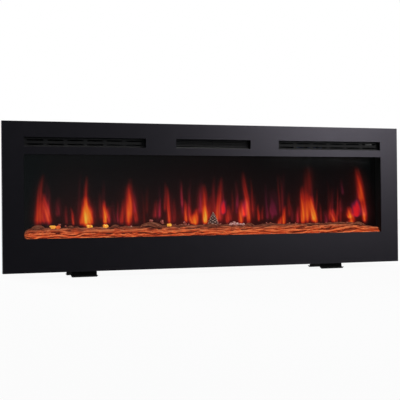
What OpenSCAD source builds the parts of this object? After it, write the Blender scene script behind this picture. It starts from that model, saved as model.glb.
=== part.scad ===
// Wide electric fireplace on two sheet-metal feet.
// The origin is on the floor, under the middle of the object. +X runs to the
// right, +Y runs backwards and +Z runs up. Depths named _d are counted
// backwards from the front plane of the frame.

/* [Front frame] */
// Overall width of the front frame
frame_w = 1524; // [1440:2:1830]
// Overall height of the front frame
frame_h = 520; // [468:2:580]
// Depth of the frame's folded edge
frame_d = 20; // [16:1:24]
// Sheet thickness of the frame
frame_t = 2; // [1.5:0.5:3]
// Border at each side of the window
side_border = 73; // [68:1:100]
// Border below the window
bottom_border = 117; // [110:1:130]
// Border above the window
top_border = 113; // [108:1:133]

/* [Vents] */
// Width of each side vent
side_vent_w = 430; // [300:2:460]
// Width of the middle vent, where the warm air leaves
mid_vent_w = 288; // [220:2:320]
// Height of every vent
vent_h = 33; // [28:1:36]
// Drop from the frame's top edge to the vents
vent_drop = 54; // [50:1:58]
// Inset of each side vent from the frame's edge
vent_inset = 75; // [70:1:100]
// Depth of the collar behind each vent
collar_d = 18; // [12:1:22]
// Wall of the collars and grilles
grille_t = 1.2; // [1:0.1:2]
// Length of one slot in a side grille
grille_slot_w = 58; // [30:1:66]
// Height of one slot in a side grille
grille_slot_h = 5; // [4:0.5:9]
// Distance between neighbouring slots
grille_pitch = 70; // [68:1:90]
// Blades of the warm-air outlet
outlet_blades = 4; // [3:1:5]
// Clear height between two blades of the outlet
outlet_gap = 2; // [1.5:0.5:5]

/* [Case] */
// Overall depth of the object
total_d = 140; // [136:1:180]
// Overlap of the frame past each side of the case
side_gap = 40; // [34:1:44]
// Overlap of the frame past the top and the bottom of the case
end_gap = 30; // [26:1:34]
// Sheet thickness of the case
case_t = 1.2; // [0.8:0.1:1.6]
// Width of the folded flanges of the case
flange = 14; // [12:1:16]

/* [Glass and screen] */
// Thickness of the window glass
glass_t = 4; // [3:0.5:5]
// Lap of the glass behind the frame
glass_lap = 10; // [8:1:12]
// Width of the foam tape between the frame and the glass
tape_w = 7; // [5:0.5:7]
// Thickness of the sealing strip
gasket_t = 1; // [0.5:0.5:2]
// Room between the glass and the flame screen
bed_d = 38; // [34:1:44]
// Thickness of the flame screen
screen_t = 3; // [2:0.5:5]

// Height of the polished sheet behind the flame screen
mask_h = 205; // [160:5:250]

/* [Fuel bed] */
// Drop from the window's lower edge to the bed's tray
tray_drop = 8; // [4:1:12]
// Length of each short end piece of the log bed
bed_end_w = 256; // [200:2:300]
// Radius of the thickest logs
log_r = 9.5; // [8:0.5:10.5]
// Distance between neighbouring logs
log_pitch = 92; // [80:1:110]

/* [Flame rotor] */
// Diameter of the rotor's rod
rod_d = 5; // [4:0.5:6]
// Reach of the reflecting fins from the rod's axis
fin_r = 20; // [16:1:22]
// Length of one fin along the rod
fin_w = 34; // [24:1:38]
// Distance between neighbouring fins
fin_pitch = 44; // [40:1:60]
// Turn from one fin to the next
fin_turn = 50; // [20:5:90]
// Height of the rotor's axis above the bed's tray
rotor_lift = 49; // [40:1:60]
// Distance from the rotor's axis to the back wall
rotor_back = 39; // [34:1:44]

/* [Blower and heater] */
// Diameter of the blower wheel
wheel_d = 40; // [34:1:42]
// Number of blades round the blower wheel
blade_count = 22; // [14:1:28]
// Thickness of one blower blade
blade_t = 0.8; // [0.6:0.1:1.2]
// Running gap between the wheel and its tongue
wheel_gap = 2.5; // [2:0.5:4]
// Depth of the wheel's axis behind the front plane
wheel_axis_d = 80; // [76:1:88]
// Depth of the heating element
heater_d = 16; // [12:1:20]
// Distance between the fins of the heating element
heater_pitch = 6; // [4:0.5:10]

/* [Controls] */
// Half of the rocker's swing
rocker_tilt = 8; // [5:1:10]
// Radius of a push button
button_r = 4; // [3:0.5:4.5]
// Distance between neighbouring push buttons
button_pitch = 18; // [16:1:20]
// Travel of a push button
button_travel = 0.8; // [0.5:0.1:1]
// Radius of the hole for the mains lead in the cord gland
gland_bore_r = 4; // [3:0.5:5]

/* [Feet] */
// Room between the floor and the frame
foot_h = 20; // [16:1:30]
// Width of each foot
foot_w = 92; // [70:1:120]
// Inset of each foot's middle from the frame's edge
foot_inset = 282; // [242:2:362]
// Sheet thickness of the feet
foot_t = 2.5; // [2:0.5:4]
// Thickness of the rubber pads
pad_t = 3; // [2:0.5:4]
// Length of the front lip on the floor
front_lip = 19; // [14:1:20]
// Length of the rear lip on the floor
rear_lip = 18; // [14:1:24]
// Length of the foot's web under the case
foot_web = 76; // [64:1:82]
// Outward lean of the foot's walls, as a distance at the floor
foot_splay = 6; // [0:1:7]

/* [Hidden] */
$fn = 32;

// Clearances
fit = 0.05;       // running fit of a shaft in its bore
slip = 0.3;       // room round a piece that drops into place
hole_gap = 0.2;   // room round a screw in its hole

// Heights
frame_z0 = foot_h;
frame_z1 = frame_z0 + frame_h;
window_z0 = frame_z0 + bottom_border;
window_z1 = frame_z1 - top_border;
glass_z0 = window_z0 - glass_lap;
glass_z1 = window_z1 + glass_lap;
vent_z1 = frame_z1 - vent_drop;
vent_z0 = vent_z1 - vent_h;
case_z0 = frame_z0 + end_gap;
case_z1 = frame_z1 - end_gap;
in_z0 = case_z0 + case_t;
in_z1 = case_z1 - case_t;
shelf_z0 = glass_z1 + 3;
shelf_z1 = shelf_z0 + case_t;
tray_z1 = window_z0 - tray_drop;
tray_z0 = tray_z1 - case_t;

// Widths, as distances from the middle
window_x = frame_w / 2 - side_border;
glass_x = window_x + glass_lap;
foot_x = frame_w / 2 - foot_inset;
case_x = frame_w / 2 - side_gap;
in_x = case_x - case_t;
wall_x = window_x + 1;
side_vent_x = frame_w / 2 - vent_inset - side_vent_w / 2;
duct_x = mid_vent_w / 2;

// Depths behind the front plane
glass_d0 = frame_t + gasket_t;
glass_d1 = glass_d0 + glass_t;
case_d0 = glass_d1 + 2;
case_d1 = total_d;
back_d = case_d1 - case_t;
flange_d = back_d - flange;
skirt_d = case_d0 + case_t;
grille_d = collar_d;
fascia_d = grille_d + grille_t;
duct_d = fascia_d + case_t;
screen_d0 = glass_d1 + bed_d;
screen_d1 = screen_d0 + screen_t;
mask_d = screen_d1 + 8;
tray_d1 = mask_d + 6;
tray_x = in_x - case_t - slip;
rotor_d = back_d - rotor_back;
rotor_z = tray_z1 + rotor_lift;

// Screws: a pan head on a plain shank
screw_r = 1.6;
screw_head_r = 3.2;
screw_head_h = 1.8;
screw_len = 8;
hole_r = screw_r + hole_gap;
corner_screw_d = [30, 90];                  // along the top and bottom flanges
back_screw_d = back_d - flange / 2;
back_screw_z = [in_z0 + 34, (in_z0 + in_z1) / 2, in_z1 - 34];
back_screw_x = [-600, -200, 200, 600] * in_x / 720;
corner_screw_z = [in_z0 + flange / 2, in_z1 - flange / 2];

// Brackets and clips that hold the front to the case
bracket_t = 1.5;
bracket_h = 24;
bracket_arm = 26;
bracket_reach = 36;
bracket_z = [case_z0 + 60, (case_z0 + case_z1) / 2, case_z1 - 60];
bracket_screw_d = bracket_reach - 9;
stud_r = 1.5;
nut_r = 3.2;
nut_h = 2.4;
clip_w = 14;
clip_t = 1.2;
clip_base = 11;
clip_lap = 7;
clip_x = [-2, -1, 0, 1, 2] * glass_x * 0.46;

// Recess fixing holes in the sides and the wall fixing in the back
fix_hole_r = 2.5;
fix_hole_d = 60;
fix_hole_z = [case_z0 + 100, case_z1 - 130];
wall_hole_r = 3;
wall_hole_x = 300;
wall_hole_z = [case_z0 + 90, case_z1 - 130];
keyhole_x = 450;
keyhole_z = case_z1 - 60;
keyhole_r = 5.5;
keyhole_slot_r = 2.75;
keyhole_drop = 14;

// Log bed
bed_d0 = glass_d1 + 2.2;
bed_d1 = screen_d0 - slip;
bed_x = window_x + 0.5;
bed_seam = bed_x - bed_end_w;
seam_gap = 0.6;

// Blower: the scroll's spiral, seen from the right
wheel_r = wheel_d / 2;
wheel_z = shelf_z1 + 34;
scroll_t = 1;
spiral_a0 = 80;
spiral_a1 = -90;
spiral_r0 = wheel_r + wheel_gap;
spiral_grow = 4;
tongue_a0 = 145;
tongue_a1 = 172;
wheel_x = duct_x - 5;
disc_t = 1.2;
blower_shaft_r = 2.5;
end_plate_t = 1.2;
end_plate_d1 = wheel_axis_d + wheel_r + 12;
element_d0 = duct_d + 5;
motor_gap = 6;

// Rotor
rod_r = rod_d / 2;
rotor_end_x = in_x - 62;
bush_r = rod_r + 3;
bush_w = 6;
rotor_plate_t = 1.5;
fin_t = 0.6;
fin_hub_r = rod_r + 1.4;
coupling_r = 6.5;
coupling_len = 22;
fin_count = floor((rotor_end_x - coupling_len - fin_w / 2 - 3) / fin_pitch);
gear_r = 25;
gear_w = 19;
gear_offset = 10;
gear_shaft_r = 3;

// Controls on the right side
panel_d = 76;
rocker_z = case_z1 - 110;
rocker_w = 12.6;
rocker_h = 18.8;
rocker_depth = 15;
rocker_lip = 2;
rocker_pivot = 0.5;
pocket_w = 10;
pocket_h = 16.4;
button_z = rocker_z - 64;
button_plate_t = 2;
button_plate_w = 20;
button_plate_h = 3 * button_pitch + 18;
button_slot_w = 13;
button_slot_h = 3 * button_pitch + 4;
button_flange_r = button_r + 1;
button_post_z = 1.5 * button_pitch - 1;
button_board_x = case_x - 10;
tact_h = 5;
gland_d = 100;
gland_z = case_z0 + 34;
gland_thread_r = gland_bore_r + 4;

// Control board
board_x = [in_x - 380, in_x - 220];
board_d = [44, 112];
board_lift = 8;
board_t = 1.6;
standoff_r = 3;

// ---------------------------------------------------------------- helpers

// Depth behind the front plane, as a Y coordinate
function y_at(depth) = depth - total_d / 2;

// The range that reaches h to each side of c
function about(c, h) = [c - h, c + h];

// A number from 0 to 1 that looks random and depends only on n
function chance(n) = let (s = sin(n * 77.7 + 13) * 4375.85) s - floor(s);

function unit(v) = v / norm(v);
function left_of(v) = [-v[1], v[0]];

// A path with its inner corners rounded by quadratic curves
function rounded(path, r, steps = 3) = let (last = len(path) - 1) [
    path[0],
    for (i = [1 : last - 1])
        let (p = path[i],
             a = p + unit(path[i - 1] - p) * r,
             b = p + unit(path[i + 1] - p) * r)
        for (k = [0 : steps])
            let (t = k / steps) (1 - t) * (1 - t) * a + 2 * t * (1 - t) * p + t * t * b,
    path[last]
];

// The outline of a bent sheet: the path, and its copy t to the left
function thicken(path, t) = let (last = len(path) - 1) concat(path, [
    for (i = [last : -1 : 0])
        let (n0 = left_of(unit(path[max(i, 1)] - path[max(i, 1) - 1])),
             n1 = left_of(unit(path[min(i, last - 1) + 1] - path[min(i, last - 1)])))
        path[i] + (n0 + n1) * t / (1 + n0 * n1)
]);

// A block from x, depth and z ranges
module block(x, d, z)
    translate([x[0], y_at(d[0]), z[0]])
        cube([x[1] - x[0], d[1] - d[0], z[1] - z[0]]);

// Carries a shape drawn in x and z from depth d0 to depth d1
module upright(d0, d1)
    translate([0, y_at(d1), 0]) rotate([90, 0, 0]) linear_extrude(d1 - d0) children();

// Carries a shape drawn in depth and z from x0 to x1
module along_x(x0, x1)
    translate([x0, y_at(0), 0]) rotate([90, 0, 90]) linear_extrude(x1 - x0) children();

// Carries a shape drawn in x and depth from z0 to z1
module standing(z0, z1)
    translate([0, y_at(0), z0]) linear_extrude(z1 - z0) children();

// A bent sheet, from a path in depth and z
module folded_x(x0, x1, path, t, r = 1)
    along_x(x0, x1) polygon(thicken(rounded(path, r), t));

// Round bars along each axis
module bar_x(x, d, z, r) translate([x[0], y_at(d), z]) rotate([0, 90, 0]) cylinder(r = r, h = x[1] - x[0]);
module bar_y(x, d, z, r) translate([x, y_at(d[1]), z]) rotate([90, 0, 0]) cylinder(r = r, h = d[1] - d[0]);
module bar_z(x, d, z, r) translate([x, y_at(d), z[0]]) cylinder(r = r, h = z[1] - z[0]);

// A rectangle with round corners, by its middle
module round_rect(w, h, r) {
    square([w - 2 * r, h], center = true);
    square([w, h - 2 * r], center = true);
    for (x = [-1, 1], y = [-1, 1])
        translate([x * (w / 2 - r), y * (h / 2 - r)]) circle(r);
}

// A slot with round ends, by its middle
module slot(w, h) {
    square([w - h, h], center = true);
    for (s = [-1, 1]) translate([s * (w - h) / 2, 0]) circle(h / 2);
}

// A pan-head screw whose head sits on z = 0, with its shank below
module pan_screw(length = screw_len)
    rotate_extrude() polygon([
        [0, -length], [screw_r, -length], [screw_r, 0], [screw_head_r, 0],
        [screw_head_r, screw_head_h * 0.45], [screw_head_r * 0.7, screw_head_h], [0, screw_head_h]
    ]);

// A hexagon nut on z = 0
module hex_nut(r, bore, h)
    difference() {
        cylinder(r = r, h = h, $fn = 6);
        translate([0, 0, -1]) cylinder(r = bore, h = h + 2);
    }

// ---------------------------------------------------------------- front

module vent_openings(grow = 0) {
    for (v = [[-side_vent_x, side_vent_w], [0, mid_vent_w], [side_vent_x, side_vent_w]])
        translate([v[0], (vent_z0 + vent_z1) / 2])
            square([v[1] + 2 * grow, vent_h + 2 * grow], center = true);
}

stud_x = case_x + bracket_t + bracket_arm / 2;

function clip_stud_z(side) = side < 0 ? glass_z0 - slip - clip_base / 2 : glass_z1 + slip + clip_base / 2;

module stud_places() {
    for (x = clip_x, side = [-1, 1]) translate([x, 0, clip_stud_z(side)]) children();
    for (side = [-1, 1], z = bracket_z) translate([side * stud_x, 0, z]) children();
}

module frame_outline(inset = 0)
    translate([0, (frame_z0 + frame_z1) / 2]) square([frame_w - 2 * inset, frame_h - 2 * inset], center = true);

// Full-width bands of the front at the given heights
module bands(heights)
    for (z = heights) translate([-frame_w / 2, z[0]]) square([frame_w, z[1] - z[0]]);

rail_heights = [[frame_z0, window_z0], [window_z1, vent_z0], [vent_z1, frame_z1]];
stile_heights = [[window_z0, window_z1], [vent_z0, vent_z1]];

// The front's sheet, its folded edge and its vent collars, as far as some bands reach
module front_strips(heights) {
    upright(0, frame_t) difference() {
        bands(heights);
        translate([-window_x, window_z0]) square([2 * window_x, window_z1 - window_z0]);
        vent_openings();
    }
    upright(frame_t, frame_d) intersection() {
        difference() {
            frame_outline();
            frame_outline(frame_t);
        }
        bands(heights);
    }
    upright(frame_t, collar_d) intersection() {
        difference() {
            vent_openings(grille_t);
            vent_openings();
        }
        bands(heights);
    }
}

// Three rails over the full width, welded edge to edge with the stiles
module frame_rails() color("#1c1b20") {
    front_strips(rail_heights);
    for (x = clip_x, side = [-1, 1]) bar_y(x, [frame_t, frame_t + 6], clip_stud_z(side), stud_r);
    for (side = [-1, 1], z = [bracket_z[0], bracket_z[2]])
        bar_y(side * stud_x, [frame_t, frame_t + 6], z, stud_r);
}

// Stiles beside the window and the short bridges between the vents
module frame_stiles() color("#1c1b20") {
    front_strips(stile_heights);
    for (side = [-1, 1]) bar_y(side * stud_x, [frame_t, frame_t + 6], bracket_z[1], stud_r);
}

module glass_outline(shrink = 0)
    translate([0, (glass_z0 + glass_z1) / 2])
        round_rect(2 * (glass_x - shrink), glass_z1 - glass_z0 - 2 * shrink, 3);

// Foam tape in four strips with butt joints, a little inside the glass's edge
module glass_gasket() color("#0b0b0b") {
    x = glass_x - 1;
    z = [glass_z0 + 1, glass_z1 - 1];
    depths = [frame_t, glass_d0];
    for (s = [0, 1]) {
        block([-x, x], depths, s ? [z[1] - tape_w, z[1]] : [z[0], z[0] + tape_w]);
        block(s ? [x - tape_w, x] : [-x, -x + tape_w], depths,
              [z[0] + tape_w + slip, z[1] - tape_w - slip]);
    }
}

module window_glass() color("#8fa3a855") upright(glass_d0, glass_d1) glass_outline();

// Z-shaped clips that press the glass against its strip, on the frame's studs
module glass_clips() color("#9a9ca0")
    for (x = clip_x, side = [-1, 1]) {
        edge = side < 0 ? glass_z0 : glass_z1;
        path = [[frame_t, edge + side * (slip + clip_base)], [frame_t, edge + side * slip],
                [glass_d1, edge + side * slip], [glass_d1, edge - side * clip_lap]];
        difference() {
            along_x(x - clip_w / 2, x + clip_w / 2)
                polygon(thicken(path, side * clip_t));
            bar_y(x, [0, frame_t + 4], edge + side * (slip + clip_base / 2), stud_r + hole_gap);
        }
    }

module clip_nuts() color("#b4b6ba") {
    for (x = clip_x, side = [-1, 1])
        translate([x, y_at(frame_t + clip_t), side < 0 ? glass_z0 - slip - clip_base / 2
                                                       : glass_z1 + slip + clip_base / 2])
            rotate([-90, 0, 0]) hex_nut(nut_r, stud_r + fit, nut_h);
    for (side = [-1, 1], z = bracket_z)
        translate([side * (case_x + bracket_t + bracket_arm / 2), y_at(frame_t + bracket_t), z])
            rotate([-90, 0, 0]) hex_nut(nut_r, stud_r + fit, nut_h);
}

// Angle brackets from the frame's back to the sides of the case
module frame_brackets() color("#8d8f94")
    for (side = [-1, 1], z = bracket_z)
        difference() {
            standing(z - bracket_h / 2, z + bracket_h / 2)
                polygon(thicken([[side * (case_x + bracket_t + bracket_arm), frame_t],
                                 [side * case_x, frame_t],
                                 [side * case_x, bracket_reach]], -side * bracket_t));
            bar_y(side * (case_x + bracket_t + bracket_arm / 2), [0, frame_t + 4], z, stud_r + hole_gap);
            bar_x([side * case_x - 5, side * case_x + 5], bracket_screw_d, z, hole_r);
        }

// ---------------------------------------------------------------- vents

module grille_plate(w)
    translate([0, (vent_z0 + vent_z1) / 2])
        square([w + 2 * (grille_t + 4), vent_h + 2 * (grille_t + 4)], center = true);

// Stamped plate with two rows of slots
module side_grille(x) {
    count = floor((side_vent_w - 6) / grille_pitch);
    upright(grille_d, fascia_d) difference() {
        translate([x, 0]) grille_plate(side_vent_w);
        for (i = [0 : count - 1], row = [-1, 1])
            translate([x + (i - (count - 1) / 2) * grille_pitch,
                       (vent_z0 + vent_z1) / 2 + row * vent_h * 0.22])
                slot(grille_slot_w, grille_slot_h);
    }
}

module left_grille() color("#17171a") side_grille(-side_vent_x);
module right_grille() color("#17171a") side_grille(side_vent_x);

// Outlet frame with tilted blades that throw the warm air down
module middle_grille() color("#17171a") {
    pitch = vent_h / outlet_blades;
    drop = pitch - outlet_gap - 1;
    upright(grille_d, fascia_d) difference() {
        grille_plate(mid_vent_w);
        translate([0, (vent_z0 + vent_z1) / 2]) round_rect(mid_vent_w - 4, vent_h - 4, 1);
    }
    for (i = [0 : outlet_blades - 1])
        along_x(-duct_x + 1, duct_x - 1)
            translate([grille_d, vent_z0 + (i + 0.7) * pitch])
                polygon([[-3, -drop], [-2, -drop], [grille_t, 1], [0, 1]]);
    for (i = [-1 : 1])
        block([i * mid_vent_w / 4 - 0.75, i * mid_vent_w / 4 + 0.75],
              [grille_d, fascia_d], [vent_z0 + 1, vent_z1 - 1]);
}

module vent_fascia() color("#202024")
    upright(fascia_d, duct_d) difference() {
        translate([0, (shelf_z1 + in_z1) / 2]) square([2 * in_x, in_z1 - shelf_z1], center = true);
        vent_openings();
    }

// ---------------------------------------------------------------- case

module case_back() color("#26262a")
    difference() {
        union() {
            block([-in_x, in_x], [back_d, case_d1], [in_z0, in_z1]);
            for (s = [0, 1]) {
                block([-in_x, in_x], [flange_d, back_d], s ? [in_z1 - case_t, in_z1] : [in_z0, in_z0 + case_t]);
                block(s ? [in_x - case_t, in_x] : [-in_x, -in_x + case_t], [flange_d, back_d],
                      [in_z0 + case_t, in_z1 - case_t]);
            }
        }
        // Air intake: four blocks of upright slots behind the blower
        for (group = [-3, -1, 1, 3], i = [-7 : 7])
            translate([group * 60 + i * 7, y_at(case_d1 - 3), wheel_z]) rotate([-90, 90, 0])
                linear_extrude(10) slot(30, 3);
        // Holes for the wall bracket
        for (x = [-wall_hole_x, wall_hole_x], z = wall_hole_z)
            bar_y(x, [back_d - 1, case_d1 + 1], z, wall_hole_r);
        // Keyholes for hanging on two screws
        for (x = [-keyhole_x, keyhole_x]) {
            bar_y(x, [back_d - 1, case_d1 + 1], keyhole_z - keyhole_drop, keyhole_r);
            block([x - keyhole_slot_r, x + keyhole_slot_r], [back_d - 1, case_d1 + 1],
                  [keyhole_z - keyhole_drop, keyhole_z]);
            bar_y(x, [back_d - 1, case_d1 + 1], keyhole_z, keyhole_slot_r);
        }
        for (x = [-1, 1], z = back_screw_z) bar_x([x * in_x - 4, x * in_x + 4], back_screw_d, z, hole_r);
        for (x = back_screw_x, z = [in_z0, in_z1]) bar_z(x, back_screw_d, [z - 4, z + 4], hole_r);
    }

// Top and bottom: a sheet with a front flange and two end flanges
module case_end(z, up) {
    sheet = up > 0 ? [z, z + case_t] : [z - case_t, z];
    fold = up > 0 ? [z + case_t, z + flange] : [z - flange, z - case_t];
    inner_z = z + up * flange / 2;
    difference() {
        union() {
            block([-in_x, in_x], [case_d0, case_d1], sheet);
            block([-in_x, in_x], [case_d0, skirt_d], fold);
            for (s = [0, 1])
                block(s ? [in_x - case_t, in_x] : [-in_x, -in_x + case_t], [skirt_d + 12, flange_d - 1], fold);
        }
        for (x = [-1, 1], d = corner_screw_d)
            bar_x([x * in_x - 4, x * in_x + 4], d, inner_z, hole_r);
        for (x = back_screw_x) bar_z(x, back_screw_d, [z - 4, z + 4], hole_r);
        children();
    }
}

module case_top() color("#26262a")
    case_end(case_z1, -1)
        for (group = [-2 : 2], i = [-8 : 8])
            translate([group * 150 + i * 7, y_at(100), case_z1 - 3]) rotate([0, 0, 90])
                linear_extrude(6) slot(26, 3);

module case_bottom() color("#26262a")
    case_end(case_z0, 1)
        for (side = [-1, 1], s = [-1, 1], d = foot_screw_d)
            bar_z(side * foot_x + s * foot_w / 4, d, [case_z0 - 1, case_z0 + 4], hole_r);

// Side wall: a sheet with a front flange
module case_side(side) {
    outer = side > 0 ? [in_x, case_x] : [-case_x, -in_x];
    fold = side > 0 ? [case_x - flange, in_x] : [-in_x, -case_x + flange];
    difference() {
        union() {
            block(outer, [case_d0, case_d1], [case_z0, case_z1]);
            block(fold, [case_d0, skirt_d], [case_z0 + flange + 0.5, case_z1 - flange - 0.5]);
        }
        for (z = back_screw_z) bar_x([side * in_x - 4, side * in_x + 4], back_screw_d, z, hole_r);
        for (z = [case_z0 + flange / 2, case_z1 - flange / 2], d = corner_screw_d)
            bar_x([side * in_x - 4, side * in_x + 4], d, z, hole_r);
        for (z = bracket_z) bar_x([side * in_x - 4, side * in_x + 4], bracket_screw_d, z, hole_r);
        for (z = fix_hole_z) bar_x([side * in_x - 4, side * in_x + 4], fix_hole_d, z, fix_hole_r);
        children();
    }
}

module case_left_side() color("#26262a") case_side(-1);

module case_right_side() color("#26262a")
    case_side(1) {
        block([in_x - 1, case_x + 1], about(panel_d, rocker_w / 2 + 0.1),
              about(rocker_z, rocker_h / 2 + 0.1));
        block([in_x - 1, case_x + 1], about(panel_d, button_slot_w / 2),
              about(button_z, button_slot_h / 2));
        bar_x([in_x - 1, case_x + 1], gland_d, gland_z, gland_thread_r + hole_gap);
    }

module case_screws() color("#b4b6ba") {
    for (side = [-1, 1]) {
        for (z = back_screw_z)
            translate([side * case_x, y_at(back_screw_d), z]) rotate([0, side * 90, 0]) pan_screw();
        for (z = [case_z0 + flange / 2, case_z1 - flange / 2], d = corner_screw_d)
            translate([side * case_x, y_at(d), z]) rotate([0, side * 90, 0]) pan_screw();
        for (z = bracket_z)
            translate([side * (case_x + bracket_t), y_at(bracket_screw_d), z])
                rotate([0, side * 90, 0]) pan_screw();
        for (s = [-1, 1], d = foot_screw_d)
            translate([side * foot_x + s * foot_w / 4, y_at(d), case_z0 - foot_t])
                rotate([180, 0, 0]) pan_screw();
    }
    for (x = back_screw_x) {
        translate([x, y_at(back_screw_d), case_z1]) pan_screw();
        translate([x, y_at(back_screw_d), case_z0]) rotate([180, 0, 0]) pan_screw();
    }
}

// ---------------------------------------------------------------- firebox

// Shelf over the firebox, folded up at both ends and notched round the back's
// flanges; it carries the heater
module heat_shelf() color("#2b2b2f") {
    notch_x = in_x - case_t - slip;
    block([-in_x, in_x], [skirt_d, flange_d - slip], [shelf_z0, shelf_z1]);
    block([-notch_x, notch_x], [flange_d - slip, back_d], [shelf_z0, shelf_z1]);
    for (s = [0, 1])
        block(s ? [in_x - case_t, in_x] : [-in_x, -in_x + case_t], [bracket_reach, flange_d - 1],
              [shelf_z1, shelf_z1 + flange]);
}

module firebox_wall(side) {
    wall = side > 0 ? [wall_x, wall_x + case_t] : [-wall_x - case_t, -wall_x];
    wing = side > 0 ? [wall_x + case_t, in_x] : [-in_x, -wall_x - case_t];
    block(wall, [glass_d1 + 1, screen_d1 + 4], [tray_z1, shelf_z0]);
    block(wing, [skirt_d, skirt_d + case_t], [tray_z1, shelf_z0]);
}

module firebox_walls() color("#131315") for (side = [-1, 1]) firebox_wall(side);

// Raised tray under the fuel bed: an upturned channel with a long light slot
module bed_tray() color("#2b2b2f")
    difference() {
        along_x(-tray_x, tray_x) polygon(thicken(
            [[skirt_d, in_z0], [skirt_d, tray_z1], [tray_d1, tray_z1], [tray_d1, in_z0]], -case_t));
        block([-bed_x + 20, bed_x - 20], [bed_d0 + 8, bed_d1 - 8], [tray_z0 - 1, tray_z1 + 1]);
    }

module flame_screen() color("#3a2420cc")
    block([-wall_x + slip, wall_x - slip], [screen_d0, screen_d1], [tray_z1, shelf_z0 - slip]);

module screen_clips() color("#8d8f94")
    for (x = [-2 : 2])
        folded_x(x * wall_x * 0.45 - 10, x * wall_x * 0.45 + 10,
                 [[screen_d1, tray_z1 + 16], [screen_d1, tray_z1], [mask_d - slip, tray_z1]], 1, 2.5);

// One flame-shaped cut, drawn from its foot at the origin
function flame_cut(w, h, lean) = [
    for (k = [0 : 12]) let (t = k / 12)
        [-w * sin(180 * pow(t, 0.7)) * (1 - t * 0.6) + lean * t * t, h * t],
    for (k = [11 : -1 : 1]) let (t = k / 12)
        [w * sin(180 * pow(t, 0.7)) * (1 - t * 0.6) * 0.8 + lean * t * t, h * t]
];

// Polished sheet whose flame-shaped cuts shape the moving light
module flame_mask() color("#b9bcc2") {
    cut_pitch = 46;
    count = floor((wall_x - 40) / cut_pitch);
    upright(mask_d, mask_d + 1) difference() {
        translate([-wall_x + 4, tray_z1]) square([2 * wall_x - 8, mask_h]);
        for (i = [-count : count])
            translate([i * cut_pitch + 8 * (chance(i) - 0.5), tray_z1 + 22])
                polygon(flame_cut(9 + 6 * chance(i + 50), 90 + 80 * chance(i + 90), 16 * (chance(i + 20) - 0.5)));
    }
    block([-wall_x + 4, wall_x - 4], [mask_d + 1, tray_d1 - 0.5], [tray_z1, tray_z1 + 1]);
    block([-wall_x + 4, wall_x - 4], [mask_d + 1, mask_d + 9], [tray_z1 + mask_h - 1, tray_z1 + mask_h]);
}

// ---------------------------------------------------------------- lights

led_pitch = 26;
led_count = floor((wall_x - 30) / led_pitch);
ember_channel_d = [bed_d0 + 6, bed_d1 - 6];
ember_channel_h = 22;
flame_ledge_z = tray_z1 - 8;
flame_ledge_w = 24;
led_board_t = 1.6;
led_size = 5;

module led_strip(d, z) {
    block([-wall_x + 16, wall_x - 16], [d - 6, d + 6], [z, z + led_board_t]);
    for (i = [-led_count : led_count])
        block(about(i * led_pitch, led_size / 2), about(d, led_size / 2),
              [z + led_board_t, z + led_board_t + 1.4]);
}

module ember_led_channel() color("#c9ccd1")
    along_x(-wall_x + 10, wall_x - 10) polygon(thicken(
        [[ember_channel_d[0], tray_z0], [ember_channel_d[0], tray_z0 - ember_channel_h],
         [ember_channel_d[1], tray_z0 - ember_channel_h], [ember_channel_d[1], tray_z0]], 1));

module ember_led_board() color("#e8e6da")
    led_strip((ember_channel_d[0] + ember_channel_d[1]) / 2, tray_z0 - ember_channel_h + 1);

module flame_led_ledge() color("#c9ccd1")
    along_x(-wall_x + 10, wall_x - 10) polygon(thicken(
        [[tray_d1 + flame_ledge_w, flame_ledge_z], [tray_d1, flame_ledge_z], [tray_d1, flame_ledge_z - 20]], 1));

module flame_led_board() color("#e8e6da")
    led_strip(tray_d1 + flame_ledge_w / 2 + 1, flame_ledge_z);

// ---------------------------------------------------------------- fuel bed

bed_step = 7;                              // distance between sections along the bed
bed_ray = 9;                               // turn between rays of one section
bed_eye = [bed_d1 - 0.9 * log_r, 0];       // where the rays of each section start
row_d = [bed_d0 + log_r + 1, bed_d0 + log_r + 4, bed_eye[0]];
row_z = [log_r + 5, 2.6 * log_r + 3, 3.8 * log_r];
row_r = [log_r, 0.85 * log_r, 0.9 * log_r];
seat_w = 44;                               // flat seats in the bed under the loose pieces
seat_h = 42;
seat_d = bed_d1 - 10;
lump_x = [-584, -565, -457, -398, -164];
lump_r = 9;
cone_x = 5;
cone_r = 13;
cone_h = 46;
cone_scales = 9;
crystal_x = [80, 95, 110];
crystal_r = [8, 9, 6];
seat_x = concat(lump_x, [cone_x], crystal_x);

// Distance from the eye to the far side of a round log at c, along a ray
function ray_hit(c, r, a) =
    let (u = [-cos(a), sin(a)], along = c * u, miss = c * c - along * along)
    miss < r * r ? along + sqrt(r * r - miss) : 0;

// The same for log i of a row where the bed is cut at x; each log leans its own way
function log_hit(row, i, x, a) =
    let (n = row * 100 + i,
         middle = (i + 0.5 * (row % 2) + 0.3 * (chance(n) - 0.5)) * log_pitch,
         t = (x - middle) / (log_pitch * (0.52 + 0.2 * chance(n + 11))))
    abs(t) >= 1 ? 0 : ray_hit(
        [row_d[row] - bed_eye[0] + 5 * (chance(n + 37) - 0.5) * t,
         row_z[row] + 9 * (chance(n + 23) - 0.5) * t + 3 * cos(180 * t) * (chance(n + 5) - 0.5)],
        row_r[row] * (0.8 + 0.35 * chance(n + 41)) * sqrt(1 - pow(abs(t), 6)) * (1 + 0.1 * sin(500 * t + 50 * n)),
        a);

// The filling behind the logs, as a rounded box
function core_hit(a) = pow(pow(abs(cos(a)) / (bed_eye[0] - bed_d0 - 3), 3) + pow(sin(a) / (3.5 * log_r), 3), -1 / 3);

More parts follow.
